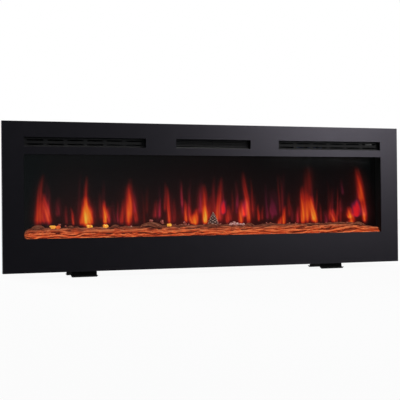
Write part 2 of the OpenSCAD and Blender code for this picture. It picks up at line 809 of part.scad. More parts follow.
// Reach of the bed's surface along one ray, held inside the bed's depth
function bed_reach(x, a) =
    let (i0 = round(x / log_pitch),
         free = max([core_hit(a), for (row = [0 : 2], i = [i0 - 2 : i0 + 1]) log_hit(row, i, x, a)]),
         seat = min([for (s = seat_x) abs(x - s)]) < seat_w / 2,
         level = seat ? seat_h / max(sin(a), 0.01) : 1000,
         reach = seat && a > 55 ? level : min(free, level),
         room = cos(a) > 0.01 ? (bed_eye[0] - bed_d0) / cos(a)
              : cos(a) < -0.01 ? (bed_d1 - bed_eye[0]) / -cos(a) : 1000)
    min(reach, room);

// One section of the bed, as points in depth and height that start at the eye
function bed_section(x) = concat(
    [bed_eye],
    [for (a = [0 : bed_ray : 135]) bed_eye + bed_reach(x, a) * [-cos(a), sin(a)]],
    [[bed_d1, 0]]
);

// A moulding of logs between two x positions, lofted through its sections
module log_moulding(x0, x1) {
    count = ceil((x1 - x0) / bed_step);
    sections = [for (i = [0 : count]) let (x = x0 + (x1 - x0) * i / count)
        [for (p = bed_section(x)) [x, y_at(p[0]), tray_z1 + p[1]]]];
    m = len(sections[0]);
    points = [for (s = sections, p = s) p];
    sides = [for (i = [0 : count - 1], k = [0 : m - 1])
        let (a = i * m + k, b = i * m + (k + 1) % m)
        each [[a, b, a + m], [b, b + m, a + m]]];
    polyhedron(points, concat(
        sides,
        [[for (k = [0 : m - 1]) (m - k) % m]],
        [[for (k = [0 : m - 1]) count * m + k]]
    ));
}

module log_bed_left() color("#b0522a") log_moulding(-bed_x, -bed_seam - seam_gap / 2);
module log_bed_middle() color("#b0522a") log_moulding(-bed_seam + seam_gap / 2, bed_seam - seam_gap / 2);
module log_bed_right() color("#b0522a") log_moulding(bed_seam + seam_gap / 2, bed_x);

// Rounded lumps of clear resin, flat where they lie
module ember_lumps() color("#ffb040")
    for (x = lump_x)
        intersection() {
            translate([x, y_at(seat_d), tray_z1 + seat_h + 1]) sphere(lump_r);
            block(about(x, lump_r), about(seat_d, lump_r), [tray_z1 + seat_h, tray_z1 + seat_h + lump_r + 1]);
        }

// A pine cone of stacked scales, and faceted glass stones beside it
module cone_and_crystals() color("#e6dcd8") {
    step = cone_h / cone_scales;
    translate([cone_x, y_at(bed_d1 - cone_r), tray_z1 + seat_h]) rotate_extrude()
        polygon(concat([[0, 0]],
            [for (k = [0 : cone_scales - 1]) let (r = cone_r * (1 - k / (cone_scales + 1)))
                each [[r * 0.72, step * k], [r, step * (k + 0.7)], [r * 0.86, step * (k + 1)]]],
            [[0, cone_h]]));
    for (i = [0 : len(crystal_x) - 1])
        translate([crystal_x[i], y_at(seat_d), tray_z1 + seat_h]) rotate([0, 0, 33 * i])
            cylinder(r1 = crystal_r[i], r2 = crystal_r[i] / 2, h = crystal_r[i] * 1.3, $fn = 6);
}

// ---------------------------------------------------------------- rotor

// The long rod, and the gear motor's short shaft that turns it
module rotor_shafts() color("#c4c6ca") {
    bar_x([-rotor_end_x - 8, rotor_end_x - 12], rotor_d, rotor_z, rod_r);
    bar_x([rotor_end_x - 11, rotor_end_x + 12], rotor_d, rotor_z, gear_shaft_r);
}

// One fin: a hub on the rod and two bent wings
module fin_section() {
    wing = [[fin_hub_r - 0.5, 0], [fin_r * 0.55, 0], [fin_r - 0.4, fin_r * 0.18]];
    difference() {
        union() {
            circle(fin_hub_r);
            for (a = [0, 180]) rotate(a) polygon(thicken(wing, fin_t));
        }
        circle(rod_r + fit);
    }
}

module rotor_fins() color("#d9dbe0")
    for (i = [-fin_count : fin_count])
        if (abs(i) > 0)
            along_x(i * fin_pitch - fin_w / 2, i * fin_pitch + fin_w / 2)
                translate([rotor_d, rotor_z]) rotate(i * fin_turn) fin_section();

module rotor_coupling() color("#3a3a3c")
    difference() {
        bar_x([rotor_end_x - coupling_len - 2, rotor_end_x - 2], rotor_d, rotor_z, coupling_r);
        bar_x([rotor_end_x - coupling_len - 3, rotor_end_x - 11.5], rotor_d, rotor_z, rod_r + fit);
        bar_x([rotor_end_x - 12, rotor_end_x], rotor_d, rotor_z, gear_shaft_r + fit);
    }

// Small gear motor: a round can whose shaft stands off its middle
module rotor_motor() color("#8f9197")
    difference() {
        union() {
            bar_x([rotor_end_x + rotor_plate_t, rotor_end_x + rotor_plate_t + gear_w],
                  rotor_d, rotor_z + gear_offset, gear_r);
            bar_x([rotor_end_x + rotor_plate_t + gear_w, rotor_end_x + rotor_plate_t + gear_w + 3],
                  rotor_d, rotor_z + gear_offset, gear_r * 0.4);
            for (s = [-1, 1])
                block([rotor_end_x + rotor_plate_t, rotor_end_x + rotor_plate_t + 1],
                      about(rotor_d + s * (gear_r + 3), 5), about(rotor_z + gear_offset, 5));
        }
        bar_x([rotor_end_x, rotor_end_x + 14], rotor_d, rotor_z, gear_shaft_r + fit);
    }

// A plate across the rotor, with a foot on the back wall
module rotor_plate(x, bore, front_d, low_z, high_z)
    difference() {
        union() {
            block([x, x + rotor_plate_t], [front_d, back_d], [low_z, high_z]);
            block([x - 14, x], [back_d - rotor_plate_t, back_d], [low_z, high_z]);
        }
        bar_x([x - 1, x + rotor_plate_t + 1], rotor_d, rotor_z, bore);
    }

module rotor_brackets() color("#8d8f94") {
    rotor_plate(-rotor_end_x, bush_r, rotor_d - 14, rotor_z - 16, rotor_z + 16);
    rotor_plate(-rotor_plate_t / 2, bush_r, rotor_d - 14, rotor_z - 16, rotor_z + 16);
    rotor_plate(rotor_end_x, gear_shaft_r + 3, rotor_d - 34, rotor_z - 22, rotor_z + 42);
}

// Nylon bushings, each with a collar on one face of its bracket
module rotor_bushings() color("#e8e4da")
    for (x = [-rotor_end_x, -rotor_plate_t / 2])
        difference() {
            union() {
                bar_x([x - 2, x + rotor_plate_t + 2], rotor_d, rotor_z, bush_r - fit);
                bar_x([x + rotor_plate_t, x + rotor_plate_t + 2], rotor_d, rotor_z, bush_r + 2);
            }
            bar_x([x - 3, x + bush_w], rotor_d, rotor_z, rod_r + fit);
        }

// ---------------------------------------------------------------- blower

function scroll_point(a, r) = [wheel_axis_d + r * cos(a), wheel_z + r * sin(a)];

// Lower wall: straight under the heater, then round behind the wheel
function scroll_path() = concat(
    [[duct_d, vent_z0], [element_d0 + heater_d + 3, vent_z0]],
    [for (k = [0 : 14])
        let (t = k / 14, a = spiral_a1 + (spiral_a0 - spiral_a1) * t)
        scroll_point(a, spiral_r0 + spiral_grow * (1 - t))]
);

// Upper wall: straight over the heater, then down the wheel's front as a tongue
function tongue_path() = concat(
    [[duct_d, vent_z1], [element_d0 + heater_d + 3, vent_z1]],
    [for (k = [0 : 4])
        scroll_point(tongue_a0 + (tongue_a1 - tongue_a0) * k / 4, wheel_r + wheel_gap)]
);

module end_plate_outline()
    difference() {
        polygon([[duct_d, shelf_z1], [end_plate_d1, shelf_z1], [end_plate_d1, wheel_z + 8],
                 [end_plate_d1 - 14, wheel_z + wheel_r + 4], [wheel_axis_d - wheel_r, wheel_z + wheel_r + 4],
                 [duct_d, vent_z1 + scroll_t]]);
        translate([wheel_axis_d, wheel_z]) circle(9);
    }

module blower_housing() color("#a7abb1") {
    along_x(-duct_x, duct_x) {
        polygon(thicken(scroll_path(), -scroll_t));
        polygon(thicken(tongue_path(), scroll_t));
    }
    for (x = [-duct_x - end_plate_t, duct_x]) along_x(x, x + end_plate_t) end_plate_outline();
}

// Curved blade of the cross-flow wheel, as an arc that leans forwards
function blade_path() = [
    for (k = [0 : 5]) let (t = k / 5, r = wheel_r * (0.76 + 0.22 * t)) [r * cos(20 * t * t), r * sin(20 * t * t)]
];

module blower_wheel() color("#35363a")
    difference() {
        union() {
            along_x(-wheel_x, wheel_x) translate([wheel_axis_d, wheel_z])
                for (i = [0 : blade_count - 1]) rotate(i * 360 / blade_count) polygon(thicken(blade_path(), blade_t));
            for (x = [-wheel_x, -disc_t / 2, wheel_x - disc_t])
                bar_x([x, x + disc_t], wheel_axis_d, wheel_z, wheel_r);
            for (s = [-1, 1])
                bar_x(s > 0 ? [wheel_x - 12, wheel_x] : [-wheel_x, -wheel_x + 12],
                      wheel_axis_d, wheel_z, blower_shaft_r + 4);
        }
        for (s = [-1, 1])
            bar_x(s > 0 ? [wheel_x - 13, wheel_x + 1] : [-wheel_x - 1, -wheel_x + 13],
                  wheel_axis_d, wheel_z, blower_shaft_r + fit / 2);
    }

module blower_shafts() color("#c4c6ca") {
    bar_x([wheel_x - 12, duct_x + 42], wheel_axis_d, wheel_z, blower_shaft_r);
    bar_x([-duct_x - 9, -wheel_x + 12], wheel_axis_d, wheel_z, blower_shaft_r);
}

motor_x = duct_x + end_plate_t + motor_gap;

// Shaded-pole motor: a lamination stack, a coil and two bearing bridges
module blower_motor() color("#6f5a3c")
    difference() {
        union() {
            along_x(motor_x + 4, motor_x + 20) translate([wheel_axis_d, wheel_z]) {
                round_rect(40, 42, 5);
                translate([-20, -21]) square([58, 9]);
                translate([-20, 12]) square([58, 9]);
                translate([29, -21]) square([9, 42]);
            }
            block([motor_x - 2, motor_x + 26], about(wheel_axis_d + 33.5, 10.5), about(wheel_z, 10.5));
            for (x = [motor_x, motor_x + 20]) {
                block([x, x + 4], about(wheel_axis_d, 6), about(wheel_z, 19));
                bar_x([x, x + 4], wheel_axis_d, wheel_z, 9);
            }
            for (s = [-1, 1])
                bar_x([duct_x + end_plate_t, motor_x + 20], wheel_axis_d, wheel_z + s * 15, 2.5);
        }
        bar_x([motor_x - 3, motor_x + 30], wheel_axis_d, wheel_z, blower_shaft_r + fit);
    }

// Sleeve bearing in the left end plate
module blower_bearing() color("#3a3a3c")
    difference() {
        union() {
            bar_x([-duct_x - end_plate_t - 4, -duct_x + 2], wheel_axis_d, wheel_z, 9 - fit);
            bar_x([-duct_x - end_plate_t - 4, -duct_x - end_plate_t], wheel_axis_d, wheel_z, 12);
        }
        bar_x([-duct_x - end_plate_t - 5, -duct_x + 3], wheel_axis_d, wheel_z, blower_shaft_r + fit);
    }

// Ceramic heating element: three bars with thin fins across the air path
module heating_element() color("#c8c4b8") {
    x = duct_x - slip;
    z0 = vent_z0 + slip;
    h = vent_h - 2 * slip;
    count = floor((x - 8) / heater_pitch);
    for (bar = [0, 0.5, 1])
        block([-x, x], [element_d0, element_d0 + heater_d], about(z0 + 1.5 + bar * (h - 3), 1.5));
    for (s = [0, 1])
        block(s ? [x - 5, x] : [-x, -x + 5], [element_d0, element_d0 + heater_d], [z0, z0 + h]);
    for (i = [-count : count])
        block(about(i * heater_pitch, 0.3), [element_d0 + 1, element_d0 + heater_d - 1], [z0 + 1, z0 + h - 1]);
}

// Snap disc that cuts the heater off, on top of the duct
module thermal_cutout() color("#d8d8da") {
    z = vent_z1 + scroll_t;
    x = -duct_x / 2;
    bar_z(x, element_d0 + 8, [z, z + 6], 8);
    block(about(x, 12), about(element_d0 + 8, 3), [z + 6, z + 7.5]);
    for (s = [-1, 1]) block(about(x + s * 4, 1), about(element_d0 + 8, 3), [z + 7.5, z + 14]);
}

// ---------------------------------------------------------------- electronics

board_z0 = shelf_z1 + board_lift;
board_z1 = board_z0 + board_t;

module standoff_places()
    for (x = [board_x[0] + 6, board_x[1] - 6], d = [board_d[0] + 6, board_d[1] - 6]) translate([x, y_at(d), 0]) children();

module control_board() color("#1f6b3a")
    difference() {
        block(board_x, board_d, [board_z0, board_z1]);
        standoff_places() translate([0, 0, board_z0 - 1]) cylinder(r = hole_r, h = board_t + 2);
    }

module board_standoffs() color("#b4b6ba")
    standoff_places() translate([0, 0, shelf_z1]) {
        cylinder(r = standoff_r, h = board_lift);
        cylinder(r = screw_r, h = board_lift + board_t + 2);
    }

// Bodies on the board: length, depth and height of each, and the two round capacitors
transformer = [34, 28, 28];
relay = [19, 16, 15];
line_filter = [18, 28, 18];
terminal = [10, 10, 11];
plug_header = [11, 7, 6];
capacitor_r = [8, 5];
capacitor_h = [20, 14];

// One body of a size, its near left corner at (x, d) on the board
module on_board(size, x, d)
    block([board_x[0] + x, board_x[0] + x + size[0]], [board_d[0] + d, board_d[0] + d + size[1]],
          [board_z1, board_z1 + size[2]]);

module board_components() color("#2a4f8f") {
    on_board(transformer, 14, 18);
    on_board(line_filter, 104, 12);
    for (i = [0, 1]) {
        on_board(relay, 58, 8 + i * (relay[1] + 6));
        bar_z(board_x[0] + 92, board_d[0] + 18 + i * 20, [board_z1, board_z1 + capacitor_h[i]], capacitor_r[i]);
    }
    for (i = [0 : 4]) on_board(terminal, 20 + i * (terminal[0] + 1), 54);
    for (i = [0 : 3]) on_board(plug_header, 84 + i * (plug_header[0] + 3), 56);
}

// Infra-red eye behind a slot of the right grille
module receiver_eye() color("#101014") {
    x = side_vent_x + side_vent_w / 2 - 40;
    z = (vent_z0 + vent_z1) / 2 + vent_h * 0.22;
    block([x - 14, x + 14], [fascia_d, fascia_d + 1.6], [z - 9, z + 7]);
    bar_y(x, [fascia_d - 1, fascia_d], z, grille_slot_h / 2 - 0.3);
}

// ---------------------------------------------------------------- controls

module rocker_housing() color("#0c0c0d")
    difference() {
        union() {
            block([case_x, case_x + rocker_lip], about(panel_d, rocker_w / 2 + 1.5),
                  about(rocker_z, rocker_h / 2 + 1.5));
            block([case_x - rocker_depth, case_x], about(panel_d, rocker_w / 2), about(rocker_z, rocker_h / 2));
            for (z = [-5, 0, 5])
                block([case_x - rocker_depth - 7, case_x - rocker_depth], about(panel_d, 2.4),
                      about(rocker_z + z, 0.4));
        }
        block([case_x - 6.5, case_x + rocker_lip + 1], about(panel_d, pocket_w / 2), about(rocker_z, pocket_h / 2));
        bar_y(case_x + rocker_pivot, about(panel_d, rocker_w / 2 - 0.3), rocker_z, 1 + fit);
    }

// Paddle of the rocker, drawn with its upper half pressed
module rocker_paddle() color("#141416")
    translate([case_x + rocker_pivot, 0, rocker_z]) rotate([0, -rocker_tilt, 0]) {
        translate([0, y_at(panel_d) + pocket_w / 2 - slip, 0]) rotate([90, 0, 0])
            linear_extrude(pocket_w - 2 * slip)
                polygon([[-4, -3], [-1, -7], [1.2, -7.6], [3.6, -7.3], [2.4, 0], [3.6, 7.3], [1.2, 7.6], [-1, 7], [-4, 3]]);
        bar_y(0, about(panel_d, rocker_w / 2 - 0.6), 0, 1);
    }

module button_places()
    for (i = [-1 : 1]) translate([0, 0, button_z + i * button_pitch]) children();

module button_plate() color("#0c0c0d")
    difference() {
        union() {
            block([case_x, case_x + button_plate_t], about(panel_d, button_plate_w / 2),
                  about(button_z, button_plate_h / 2));
            for (s = [-1, 1])
                bar_x([button_board_x + board_t, case_x], panel_d, button_z + s * button_post_z, 2);
        }
        button_places() bar_x([case_x - 1, case_x + button_plate_t + 1], panel_d, 0, button_r + 2 * fit);
    }

// Button: a cap in the plate, a flange behind it and a stem on the switch
module push_button(i) {
    z = button_z + i * button_pitch;
    tip = button_board_x + board_t + tact_h + button_travel + 0.1;
    bar_x([tip, case_x - 1.5], panel_d, z, 1.5);
    bar_x([case_x - 1.5, case_x - fit], panel_d, z, button_flange_r);
    bar_x([case_x - fit, case_x + button_plate_t + 1.4], panel_d, z, button_r);
}

module power_button() color("#c23a2c") push_button(1);
module flame_button() color("#d8d8da") push_button(0);
module heat_button() color("#d8d8da") push_button(-1);

module button_board() color("#1f6b3a") {
    block([button_board_x, button_board_x + board_t], about(panel_d, 8), about(button_z, button_post_z + 4));
    button_places() {
        block([button_board_x + board_t, button_board_x + board_t + 3.5], about(panel_d, 3), [-3, 3]);
        bar_x([button_board_x + board_t + 3.5, button_board_x + board_t + tact_h], panel_d, 0, 1.6);
    }
}

module cord_gland() color("#19191b")
    difference() {
        union() {
            bar_x([in_x - 9, case_x + 4], gland_d, gland_z, gland_thread_r);
            translate([case_x, y_at(gland_d), gland_z]) rotate([0, 90, 0])
                cylinder(r = gland_thread_r + 3, h = 11, $fn = 6);
            bar_x([case_x + 11, case_x + 15], gland_d, gland_z, gland_thread_r + 0.5);
            translate([in_x - 5, y_at(gland_d), gland_z]) rotate([0, 90, 0])
                cylinder(r = gland_thread_r + 3, h = 5, $fn = 6);
        }
        bar_x([in_x - 10, case_x + 16], gland_d, gland_z, gland_bore_r);
    }

// ---------------------------------------------------------------- feet

foot_d0 = frame_d + 1.5 + foot_t + foot_splay;
foot_d1 = foot_d0 + foot_web;
foot_screw_d = [foot_d0 + 12, foot_d1 - 12];

// A hat-shaped bracket under the case: two lips near the floor and a web above
module foot(side) {
    web_z = case_z0 - foot_t;
    difference() {
        folded_x(side * foot_x - foot_w / 2, side * foot_x + foot_w / 2,
                 [[foot_d0 - foot_splay - front_lip, pad_t], [foot_d0 - foot_splay, pad_t],
                  [foot_d0, web_z], [foot_d1, web_z],
                  [foot_d1 + foot_splay, pad_t], [foot_d1 + foot_splay + rear_lip, pad_t]], foot_t, 3);
        for (s = [-1, 1], d = foot_screw_d)
            bar_z(side * foot_x + s * foot_w / 4, d, [web_z - 1, case_z0 + 1], hole_r);
    }
}

module left_foot() color("#0e0e10") foot(-1);
module right_foot() color("#0e0e10") foot(1);

module foot_pads() color("#050505")
    for (side = [-1, 1], lip = [[foot_d0 - foot_splay - front_lip, front_lip],
                                [foot_d1 + foot_splay, rear_lip]])
        translate([side * foot_x, y_at(lip[0] + lip[1] / 2), 0])
            linear_extrude(pad_t) round_rect(foot_w - 4, lip[1] - 4, 2);

frame_rails();
frame_stiles();
glass_gasket();
window_glass();
glass_clips();
clip_nuts();
frame_brackets();
left_grille();
middle_grille();
right_grille();
vent_fascia();
case_back();
case_top();
case_bottom();
case_left_side();
case_right_side();
case_screws();
heat_shelf();
firebox_walls();
bed_tray();
flame_screen();
screen_clips();
flame_mask();
ember_led_channel();
ember_led_board();
flame_led_ledge();
flame_led_board();
log_bed_left();
log_bed_middle();
log_bed_right();
ember_lumps();
cone_and_crystals();
rotor_shafts();
rotor_fins();
rotor_coupling();
rotor_motor();
rotor_brackets();
rotor_bushings();
blower_housing();
blower_wheel();
blower_shafts();
blower_motor();
blower_bearing();
heating_element();
thermal_cutout();
control_board();
board_components();
board_standoffs();
receiver_eye();
rocker_housing();
rocker_paddle();
button_plate();
power_button();
flame_button();
heat_button();
button_board();
cord_gland();
left_foot();
right_foot();
foot_pads();
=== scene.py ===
"""Dresses the wide electric fireplace: finishes for the metal case, a glowing bed
of driftwood behind the glass, and the flames on the screen behind it."""
import math

import bpy
import numpy as np
from bpy.props import FloatProperty, FloatVectorProperty, IntProperty, PointerProperty
from mathutils import Matrix, Vector


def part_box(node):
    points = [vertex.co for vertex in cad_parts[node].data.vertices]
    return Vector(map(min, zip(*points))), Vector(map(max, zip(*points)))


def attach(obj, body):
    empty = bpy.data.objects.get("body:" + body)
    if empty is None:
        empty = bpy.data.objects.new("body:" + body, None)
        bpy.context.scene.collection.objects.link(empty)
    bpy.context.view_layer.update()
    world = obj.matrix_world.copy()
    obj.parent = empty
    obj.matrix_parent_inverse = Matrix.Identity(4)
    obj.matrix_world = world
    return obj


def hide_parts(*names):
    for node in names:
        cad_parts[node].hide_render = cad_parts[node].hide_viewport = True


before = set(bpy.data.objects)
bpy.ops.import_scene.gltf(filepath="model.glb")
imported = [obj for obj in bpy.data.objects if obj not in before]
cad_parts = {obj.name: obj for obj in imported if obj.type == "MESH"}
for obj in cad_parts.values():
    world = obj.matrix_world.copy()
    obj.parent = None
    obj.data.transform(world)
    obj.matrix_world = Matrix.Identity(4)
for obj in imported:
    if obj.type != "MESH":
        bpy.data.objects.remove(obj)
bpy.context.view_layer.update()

bl_info = {
    "name": "Linear Electric Fireplace",
    "version": (1, 0, 0),
    "blender": (4, 5, 0),
    "location": "View3D > Sidebar > Fireplace",
    "description": "Finishes, flames and fuel bed of a wide electric fireplace",
    "category": "Object",
}

FIXED = "fireplace"      # the body that stands still
MM = 0.001
WAVES_PER_UNIT = 20 / (2 * math.pi)      # bands that a Wave Texture draws at scale 1


# ------------------------------------------------------------------ helpers

def linear(hex_colour):
    """An sRGB hex colour as linear red, green, blue and alpha 1."""
    channels = [int(hex_colour[i:i + 2], 16) / 255 for i in (1, 3, 5)]
    return [c / 12.92 if c <= 0.04045 else ((c + 0.055) / 1.055) ** 2.4 for c in channels] + [1.0]


def per(mm):
    """The texture scale at which one feature of a pattern is this many millimetres."""
    return 1 / (mm * MM)


def add(tree, kind, links=None, sockets=None, stops=None, **settings):
    """Add one node: settings are its attributes, sockets its constants, links its inputs."""
    node = tree.nodes.new(kind)
    for key, value in settings.items():
        setattr(node, key, value)
    for key, value in (sockets or {}).items():
        node.inputs[key].default_value = value
    for key, source in (links or {}).items():
        tree.links.new(source, node.inputs[key])
    if stops:
        while len(node.color_ramp.elements) < len(stops):
            node.color_ramp.elements.new(0.5)
        for element, (place, colour) in zip(node.color_ramp.elements, stops):
            element.position, element.color = place, colour
    return node


def new_material(name):
    """An empty material with a Principled shader wired to its output."""
    material = bpy.data.materials.new(name)
    material.use_nodes = True
    tree = material.node_tree
    tree.nodes.clear()
    shader = add(tree, "ShaderNodeBsdfPrincipled")
    add(tree, "ShaderNodeOutputMaterial", {"Surface": shader.outputs[0]})
    place = add(tree, "ShaderNodeTexCoord").outputs["Object"]
    return material, tree, shader, place


def grey(value):
    """A neutral linear colour."""
    return (value, value, value, 1.0)


def shell(rings, poles=None):
    """Vertices, quads and triangles of a skin from an (m, n, 3) grid of points whose rows
    are closed rings; poles close the two ends with a fan to a point each."""
    m, n = rings.shape[:2]
    i, j = np.meshgrid(np.arange(m - 1), np.arange(n), indexing="ij")
    k = (j + 1) % n
    quads = np.stack([i * n + j, i * n + k, (i + 1) * n + k, (i + 1) * n + j], -1).reshape(-1, 4)
    verts = rings.reshape(-1, 3)
    tris = np.zeros((0, 3), int)
    if poles is not None:
        a, b = np.arange(n), (np.arange(n) + 1) % n
        first, last = m * n, m * n + 1
        tris = np.concatenate([np.stack([b, a, np.full(n, first)], -1),
                               np.stack([(m - 1) * n + a, (m - 1) * n + b, np.full(n, last)], -1)])
        verts = np.concatenate([verts, np.asarray(poles, float)])
    return verts, quads, tris


def piece(name, skins, material, body, smooth=True, replaces=(), values=None):
    """One object from skins (vertices, quads, triangles); values are point attributes."""
    offset, verts, quads, tris = 0, [], [], []
    for v, q, t in skins:
        verts.append(v)
        quads.append(q + offset)
        tris.append(t + offset)
        offset += len(v)
    verts, quads, tris = (np.concatenate(x) for x in (verts, quads, tris))
    mesh = bpy.data.meshes.new(name)
    mesh.vertices.add(len(verts))
    mesh.vertices.foreach_set("co", verts.astype(np.float32).ravel())
    loops = np.concatenate([quads.ravel(), tris.ravel()])
    sizes = np.concatenate([np.full(len(quads), 4), np.full(len(tris), 3)])
    mesh.loops.add(len(loops))
    mesh.loops.foreach_set("vertex_index", loops.astype(np.int32))
    mesh.polygons.add(len(sizes))
    starts = np.concatenate([[0], np.cumsum(sizes)[:-1]])
    mesh.polygons.foreach_set("loop_start", starts.astype(np.int32))
    mesh.polygons.foreach_set("use_smooth", np.full(len(sizes), smooth))
    for key, data in (values or {}).items():
        kind = "FLOAT" if data.ndim == 1 else "FLOAT_COLOR"
        layer = mesh.attributes.new(key, kind, "POINT")
        layer.data.foreach_set("value" if data.ndim == 1 else "color",
                               data.astype(np.float32).ravel())
    mesh.update(calc_edges=True)
    mesh.validate()
    mesh.materials.append(material)
    obj = bpy.data.objects.new(name, mesh)
    bpy.context.scene.collection.objects.link(obj)
    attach(obj, body)
    if replaces:
        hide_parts(*replaces)
    return obj


def dress(material, names):
    """Give CAD nodes a better material."""
    for name in names.split():
        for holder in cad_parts[name].material_slots:
            holder.material = material


def chance(n):
    """A number from 0 to 1 for each n, the fraction of a large sine, as in the solids."""
    s = np.sin(np.radians(np.asarray(n, float) * 77.7 + 13)) * 4375.85
    return s - np.floor(s)


def waves(x, seed, count=6, low=1.0, high=8.0):
    """Smooth noise from -1 to 1 along x: a sum of sines of random pitch and phase."""
    rng = np.random.default_rng(seed)
    pitch, phase = rng.uniform(low, high, count), rng.uniform(0, 2 * math.pi, count)
    return sum(np.sin(2 * math.pi * p * x + f) for p, f in zip(pitch, phase)) / count


# ------------------------------------------------------------------ settings

class FireplaceSizes(bpy.types.PropertyGroup):
    """Sizes and light levels that a user may change"""

    flame_grid: FloatProperty(
        name="Flame grid", description="Distance between points of the flame picture",
        default=2.5 * MM, unit="LENGTH")
    bed_grid: FloatProperty(
        name="Bed grid", description="Distance between sections of the log bed",
        default=1.6 * MM, unit="LENGTH")
    bed_rays: IntProperty(
        name="Bed rays", description="Points across one section of the log bed", default=72)
    bark_depth: FloatProperty(
        name="Bark depth", description="Depth of the furrows in the logs",
        default=0.9 * MM, unit="LENGTH")
    flame_glow: FloatProperty(
        name="Flame glow", description="Strength of the flames on the screen", default=1.08)
    bed_glow: FloatProperty(
        name="Bed glow", description="Strength of the light inside the log bed", default=1.0)


class FireplaceColours(bpy.types.PropertyGroup):
    """Colours that a user may change"""

    def colour(name, description, value):
        """A colour property whose default is this hex value."""
        return FloatVectorProperty(name=name, description=description, size=4, subtype="COLOR",
                                   min=0, max=1, default=linear(value))

    frame_black: colour("Frame black", "Powder coat of the front frame", "#08070a")
    case_black: colour("Case black", "Textured paint of the case", "#1d1d20")
    # Grey and brown of the logs are set by the grain and by how far a point stands out, so the
    # brown in the furrows is partly painted shade
    driftwood_grey: colour("Driftwood grey", "Weathered tops of the logs", "#603022")
    driftwood_brown: colour("Driftwood brown", "Furrows of the logs", "#260b06")
    flame_yellow: colour("Flame yellow", "Hottest part of a flame", "#ffbe42")
    flame_amber: colour("Flame amber", "Round the hottest part", "#ff8420")
    flame_orange: colour("Flame orange", "Body of a flame", "#ee5016")
    flame_red: colour("Flame red", "Outer part of a flame", "#b0210f")
    flame_deep: colour("Flame deep red", "Edge of a flame", "#6a110b")
    flame_crimson: colour("Flame crimson", "Middle of the second set of flames", "#d61222")
    flame_purple: colour("Flame purple", "Edge of the second set of flames", "#641230")
    ember_orange: colour("Ember orange", "Light in the log bed", "#c64218")
    ember_yellow: colour("Ember yellow", "Light in the clear lumps", "#ffc64a")


# ------------------------------------------------------------------ finishes

# name: colour, metallic, roughness, grain size in mm, grain height in mm, mottling, nodes
FINISHES = {
    # Powder coat cures with a faint orange peel, so its sheen breaks up slightly
    "powder_coated_steel": ("frame_black", 0, 0.35, 1.6, 0.03, 0.10,
                            "frame_rails frame_stiles"),
    # Black paint on the pressed feet, dull from dipping
    "dipped_black_paint": ("#040404", 0, 0.7, 1.2, 0.03, 0.1, "left_foot right_foot"),
    # Stamped sheet with sprayed heat-proof paint: flat and dry
    "sprayed_grille_steel": ("#2b2a2b", 0, 0.62, 0.6, 0.02, 0.10,
                             "left_grille middle_grille right_grille vent_fascia"),
    # Textured paint: a coarse sand-like grain that hides the sheet's marks
    "textured_case_paint": ("case_black", 0, 0.6, 0.9, 0.09, 0.15,
                            "case_back case_top case_bottom case_left_side case_right_side"),
    # Flat black inside the firebox, where nothing may shine
    "flat_firebox_paint": ("#0b0b0c", 0, 0.8, 0.7, 0.03, 0.1, "firebox_walls"),
    # Extruded EPDM: dead black, slightly chalky
    "extruded_rubber": ("#0c0c0d", 0, 0.85, 0.5, 0.02, 0.15, "glass_gasket foot_pads"),
    # Rolled and polished aluminium: bright, with faint rolling marks
    "polished_aluminium": ("#d6d8db", 1, 0.16, 3.0, 0.004, 0.05, "flame_mask rotor_fins"),
    # Ground bar: clean grey shine
    "ground_steel_bar": ("#b4b6b8", 1, 0.24, 0.4, 0.004, 0.05, "rotor_shafts blower_shafts"),
    # Nylon 66, moulded: milky and slightly glossy
    "moulded_nylon": ("#ded8c8", 0, 0.4, 2.0, 0.01, 0.05, "rotor_bushings"),
    # Nitrile rubber, moulded: dull black with a soft skin
    "moulded_nitrile_rubber": ("#1a1a1b", 0, 0.7, 0.8, 0.02, 0.1, "rotor_coupling"),
    # Anodised aluminium strip, dyed black: a dark metal shine on each blade
    "black_anodised_wheel": ("#2b2c2f", 1, 0.35, 1.0, 0.01, 0.1, "blower_wheel"),
    # Filled acetal, moulded: smooth near-black with a waxy shine
    "moulded_bearing_polymer": ("#202022", 0, 0.45, 1.0, 0.01, 0.05, "blower_bearing"),
    # Ceramic bars with fins, darkened by heat: dry and greyish
    "pressed_ceramic": ("#5d5c55", 0, 0.75, 0.6, 0.02, 0.12, "heating_element"),
    # Polycarbonate from a sparked mould: black with a fine matt grain
    "moulded_black_polycarbonate": ("#101011", 0, 0.38, 0.8, 0.02, 0.08,
                                    "rocker_housing rocker_paddle button_plate cord_gland"),
    # Dyed through, so that it is black to the eye and clear to infra-red
    "infrared_window_acrylic": ("#120a10", 0, 0.2, 2.0, 0.002, 0.02, "receiver_eye"),
    # ABS from a polished mould: even colour and a clear shine
    "moulded_red_abs": ("#a82a1e", 0, 0.3, 1.5, 0.01, 0.05, "power_button"),
    "moulded_grey_abs": ("#c9c9cc", 0, 0.3, 1.5, 0.01, 0.05, "flame_button heat_button"),
    # Capacitors and coils in their sleeves: blotches of dark blue
    "moulded_components": ("#25365c", 0, 0.4, 4.0, 0.02, 0.5, "board_components"),
}

ZINC_NODES = ("heat_shelf bed_tray frame_brackets glass_clips clip_nuts case_screws screen_clips "
              "rotor_brackets ember_led_channel flame_led_ledge blower_housing thermal_cutout "
              "board_standoffs")

# Specular level of finishes whose matting powder, or anti-glare film, scatters reflections
LOW_SHEEN = {"sprayed_grille_steel": 0.3, "dipped_black_paint": 0.15,
             "infrared_window_acrylic": 0.15}
MOTTLE_MM = 35           # width of the soft blotches in every plain finish
SPANGLE_MM = 9           # zinc crystals
LAMINATION_MM = 1.6      # three times the thickness of real sheets, so that they show
TRACK_MM = 40            # coarser than real copper tracks, so that they show
FIBRE_MM = 3.5           # streaks in the paint of the driftwood
FIBRE_STRETCH = 10       # their length over their width
FROST_MM = 2.5           # specks on the cone, coarser than real frosting, so that they show


